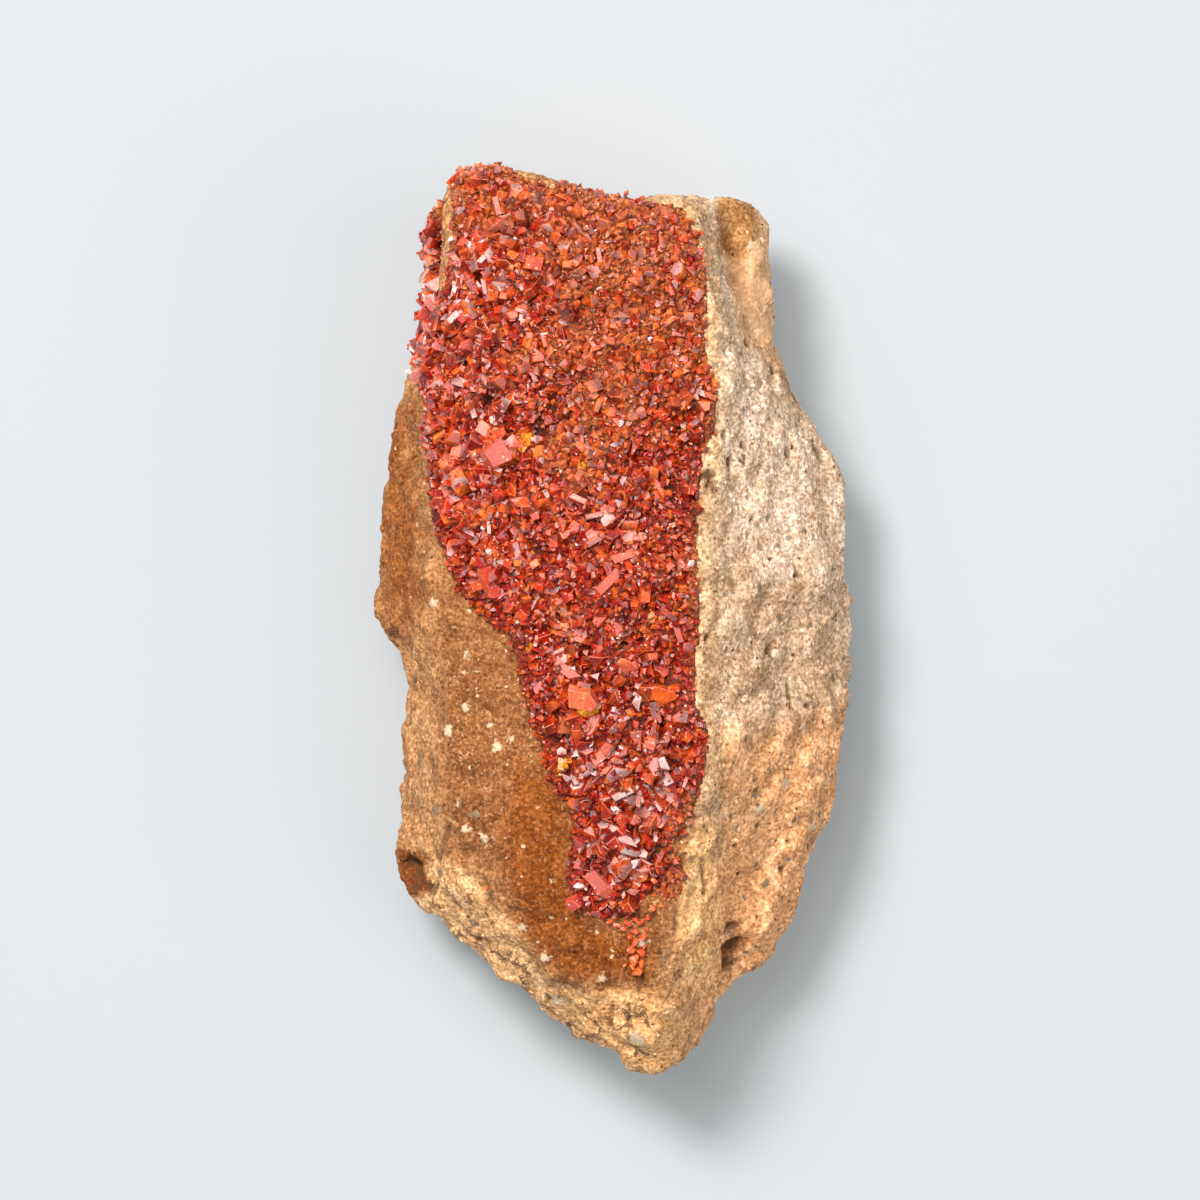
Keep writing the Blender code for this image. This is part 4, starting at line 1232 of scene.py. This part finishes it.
def grain_kinds(name, subdivisions, seed):
    """Dented, flattened balls of radius one, partly sunk in the ground."""
    chance = random.Random(seed)
    collection = bpy.data.collections.new(name)
    for index in range(GRAIN_KINDS):
        work = bmesh.new()
        bmesh.ops.create_icosphere(work, subdivisions=subdivisions, radius=1.0)
        shift = Vector((chance.uniform(0, 50), chance.uniform(0, 50), index * 7.0))
        wide, deep, tall = chance.uniform(0.8, 1.3), chance.uniform(0.7, 1.1), chance.uniform(0.5, 0.8)
        for vert in work.verts:
            dent = 1 + GRAIN_DENT * noise.noise(vert.co * 1.5 + shift)
            vert.co = Vector((vert.co.x * wide, vert.co.y * deep, vert.co.z * tall - GRAIN_SINK)) * dent
        mesh = mesh_from(work, bpy.data.meshes.new(f"{name}_{index}"))
        collection.objects.link(bpy.data.objects.new(mesh.name, mesh))
    return collection


rock_points = points_of(rock_surface)
bare_rock = soft(-druse_depth(rock_points) - DRUSE_MARGIN, 0.5) * (rock_points[:, 2] > BASE_MARGIN)
store(rock_surface, "cover", bare_rock)
store(rock_surface, "coarse", np.zeros(len(rock_points)))
all_kinds = [small_kinds, large_kinds]
for name, subdivisions, spacing, smallest, largest, seed in GRAIN_LAYERS:
    kinds = grain_kinds(name + "_kind", subdivisions, seed)
    all_kinds.append(kinds)
    sizes = (spacing, smallest, largest, 0.0, 0.0, GRAIN_TIP, seed)
    grains = grow(name, rock_surface, rock_finish, kinds, *sizes)
    declare(grains, "host_rock")

# %% [markdown]
# The largest crystals are what the eye finds first, so each is placed one by one: where it lies, its
# three sizes, the way it points, and how it is tipped. A ray sent down on the bed gives its height.
# The small crystals painted pale as glints, the tail below the druse and the crystals that stand out
# from the left flank need a place and a size alone, and share the rest.

# %% Bold crystals one by one
FEATURES = [
    # shape, x, y, length, width, height, heading, pitch, roll, tint, painted glint
    ("prism", -11.65, 16.05, 2.8, 2.25, 2.0, -52, -12, -14, 0.55, 0.15),
    ("prism", -9.9, 17.0, 2.0, 1.4, 1.3, -50, 14, 8, 0.6, 0.4),
    ("prism", -12.8, 18.6, 1.8, 1.3, 1.2, -30, 10, -6, 0.8, 0.1),
    ("shard", -2.1, 8.05, 2.0, 1.9, 1.3, 20, 6, 0, 0.45, 0.35),
    ("prism", -2.95, -7.75, 3.3, 2.0, 1.6, 0, 5, 22, 0.85, 0.15),
    ("prism", -4.85, -5.4, 3.5, 0.95, 0.9, -40, 8, 0, 0.5, 0.45),
    ("prism", -12.2, 3.75, 3.4, 1.3, 1.3, 100, 10, 25, 0.4, 0.05),
    ("shard", -12.85, 36.6, 2.4, 1.9, 1.3, 40, 10, 8, 0.5, 0.45),
    ("shard", 0.8, -21.85, 4.0, 1.6, 1.5, -43, 6, 5, 0.5, 0.62),
    ("shard", 0.25, -24.45, 2.4, 2.3, 1.8, 30, 6, 5, 0.4, 0.50),
    ("prism", -1.55, -26.7, 3.3, 1.2, 1.3, -60, 8, 25, 0.4, 0.2),
    ("shard", 0.1, -26.25, 1.5, 1.2, 0.9, 15, 8, 5, 0.5, 0.6),
    ("prism", -4.0, -28.25, 1.6, 1.1, 1.0, 30, 8, 25, 0.3, 0.1),
    ("shard", -3.4, -22.6, 2.0, 1.5, 1.3, 70, 4, 10, 0.45, 0.55),
    ("shard", 2.9, -24.8, 2.2, 1.4, 1.3, -10, 8, 10, 0.3, 0.45),
    ("prism", 3.7, -19.9, 2.6, 1.2, 1.1, 8, 6, 20, 0.6, 0.3),
    ("prism", -1.0, -13.6, 2.8, 1.0, 1.0, 25, 8, 20, 0.7, 0.25),
    ("shard", 1.2, -5.0, 3.0, 2.6, 1.4, 60, 4, 4, 0.8, 0.15),
    ("prism", 5.0, -7.6, 2.6, 1.5, 1.3, -15, 8, 15, 0.75, 0.0),
    ("shard", -5.8, 1.6, 2.2, 1.2, 1.2, -35, 5, 12, 0.6, 0.4),
    ("prism", -0.4, 3.6, 3.2, 0.9, 0.9, 38, 8, 10, 0.6, 0.3),
    ("prism", 0.9, 6.4, 2.6, 0.8, 0.8, 30, 10, 10, 0.5, 0.3),
    ("shard", -3.3, 17.0, 2.0, 1.5, 1.2, 30, 5, 5, 0.85, 0.2),
    ("shard", -9.6, 11.6, 2.2, 1.3, 1.2, -20, 8, 10, 0.4, 0.3),
    ("shard", -7.2, 31.0, 1.9, 1.3, 1.1, 60, 8, 8, 0.5, 0.5),
    ("shard", -11.6, 31.9, 1.8, 1.4, 1.2, 10, 8, 8, 0.4, 0.35),
    ("shard", 2.6, 20.4, 1.7, 1.4, 1.1, 80, 8, 8, 0.6, 0.4),
    ("shard", 5.4, 29.4, 1.6, 1.1, 1.0, 45, 8, 8, 0.9, 0.0),
    ("shard", 6.2, 24.2, 1.8, 1.2, 1.0, 60, 8, 8, 0.95, 0.0),
]
GLINTS = [
    # x, y and size of small crystals painted pale as glints
    (-12.5, 6.5, 0.9), (-10.7, 5.3, 0.9), (-16.6, 10.9, 0.6), (-13.0, 9.0, 0.7), (0.4, 19.2, 0.8),
    (-16.1, 32.4, 1.1), (-14.4, 36.9, 0.9), (-16.3, 37.6, 0.7), (-14.5, 38.4, 0.6), (-5.5, 29.1, 0.7),
    (-10.9, 27.0, 1.0), (-10.0, 37.6, 0.6), (-0.1, -19.0, 1.1), (-3.6, -26.7, 1.0), (-3.8, -18.0, 0.8),
    (2.1, -14.5, 0.6), (4.6, -20.3, 0.9), (0.3, -15.8, 0.5), (-9.6, -0.2, 0.9), (-7.0, 27.9, 0.9),
    (-4.4, 36.4, 0.5), (-1.6, 32.6, 0.6), (3.5, 27.6, 0.5), (7.5, 5.4, 0.7), (-5.6, -0.6, 0.6),
    (-2.4, -10.2, 0.6), (3.4, -2.0, 0.6), (-8.6, 23.0, 0.6), (-18.9, 27.6, 0.8), (-20.6, 24.5, 0.8),
]
TAIL = [
    # x, y and size of the last crystals below the druse
    (1.3, -30.4, 0.8), (1.9, -31.1, 0.8), (2.5, -30.2, 0.7), (0.8, -31.0, 0.6), (2.1, -32.2, 0.8),
    (2.8, -31.8, 0.6), (1.6, -33.0, 0.7), (2.5, -33.3, 0.8), (1.8, -34.1, 0.9), (2.6, -34.4, 0.7),
    (2.2, -35.2, 0.9), (3.1, -30.9, 0.5), (3.7, -28.9, 0.7), (-12.8, -26.9, 0.5), (1.0, -34.6, 0.5),
    (1.4, -31.7, 0.6), (2.0, -30.0, 0.7), (1.9, -32.6, 0.6), (2.2, -33.8, 0.6), (1.7, -34.8, 0.7),
    (0.2, -30.5, 0.6), (3.2, -29.8, 0.6), (2.9, -32.8, 0.5), (4.6, -28.6, 0.6), (-0.6, -30.2, 0.6),
]
FLANK = [
    # x, y, z and size of crystals that stand out from the left flank
    (-19.9, 33.2, 25.0, 1.9), (-20.5, 30.6, 24.5, 1.7), (-20.2, 24.4, 24.5, 1.7), (-19.4, 36.6, 23.5, 1.3),
    (-19.8, 28.6, 25.5, 1.3), (-20.3, 26.4, 23.0, 1.4), (-19.3, 38.4, 23.0, 1.1), (-20.0, 32.0, 22.0, 1.2),
]
LIFT = 0.35
HAND_BEVEL = 0.05
HAND_CUTS = 2
HAND_CORNERS = 12


def crystal_spots():
    """Every crystal placed one by one: its shape, the point it lies on, and the rest of its row."""
    bed_tree = surface_tree(bed_surface)
    rock_tree = surface_tree(rock_surface)

    def ground(x, y):
        found = from_above(bed_tree, x, y)
        return from_above(rock_tree, x, y) if found is None else found

    spots = [(shape, ground(x, y), *rest) for shape, x, y, *rest in FEATURES]
    for x, y, size in GLINTS:
        spots.append(("shard", ground(x, y), 1.4 * size, size, 0.8 * size, 53 * x, 0, 0, 0.7, 0.95))
    for x, y, size in TAIL:
        spots.append(("shard", ground(x, y), 1.5 * size, 1.2 * size, size, 71 * y, 12, 5, 0.8, 0.05))
    for x, y, z, size in FLANK:
        nearest = on_grid(bed_tree.find_nearest(place(x, y, z))[0])
        spots.append(("shard", nearest, 1.5 * size, size, 0.9 * size, 180 + 9 * y, 8, 0, 0.5, 0.42))
    return spots


def turn(degrees, axis):
    return Matrix.Rotation(math.radians(degrees), 4, axis)


def lay_crystal(chance, shape, ground, length, width, height, heading, pitch, roll):
    """One crystal lying on its side at a point of the ground, as a bmesh."""
    if shape == "prism":
        work = prism_solid(chance, height, width, length, HAND_CUTS, HAND_BEVEL)
    else:
        work = shard_solid(chance, height, width, length, HAND_CORNERS)
    lie = turn(90, "Y") @ Matrix.Translation((0, 0, -length / 2))
    aim = turn(heading, "Z") @ turn(-pitch, "Y") @ turn(roll, "X")
    stand = Matrix.Translation(place(*ground) + Vector((0, 0, LIFT * height * MM))) @ Matrix.Scale(MM, 4)
    bmesh.ops.transform(work, matrix=stand @ aim @ lie, verts=work.verts)
    return work


def lay_features():
    chance = random.Random(31)
    whole = bmesh.new()
    tints, painted_glints = [], []
    for *row, tint, bloom in crystal_spots():
        scrap = mesh_from(lay_crystal(chance, *row), bpy.data.meshes.new("scrap"))
        tints += [tint] * len(scrap.vertices)
        painted_glints += [bloom] * len(scrap.vertices)
        whole.from_mesh(scrap)
        bpy.data.meshes.remove(scrap)
    mesh = mesh_from(whole, bpy.data.meshes.new("feature_crystals"))
    store(mesh, "tint", tints)
    store(mesh, "bloom", painted_glints)
    store(mesh, "along", np.ones(len(tints)))
    store(mesh, "facet", [chance.uniform(0.35, 0.8) for face in mesh.polygons], "FACE")
    mesh.materials.append(crystal_finish)
    return show("feature_crystals", mesh)


features = lay_features()
declare(features, "crocoite_crust")
print("feature crystals", len(FEATURES + GLINTS + TAIL + FLANK), "triangles", triangles(features))

# %% [markdown]
# Last, the patterns that only served the scatter are removed, and so are the spare copies of the
# rock and bed surfaces.

# %% Clearing up
for collection in all_kinds:
    for kind in list(collection.objects):
        bpy.data.objects.remove(kind)
    bpy.data.collections.remove(collection)
bpy.data.meshes.remove(bed_surface)
bpy.data.meshes.remove(rock_surface)
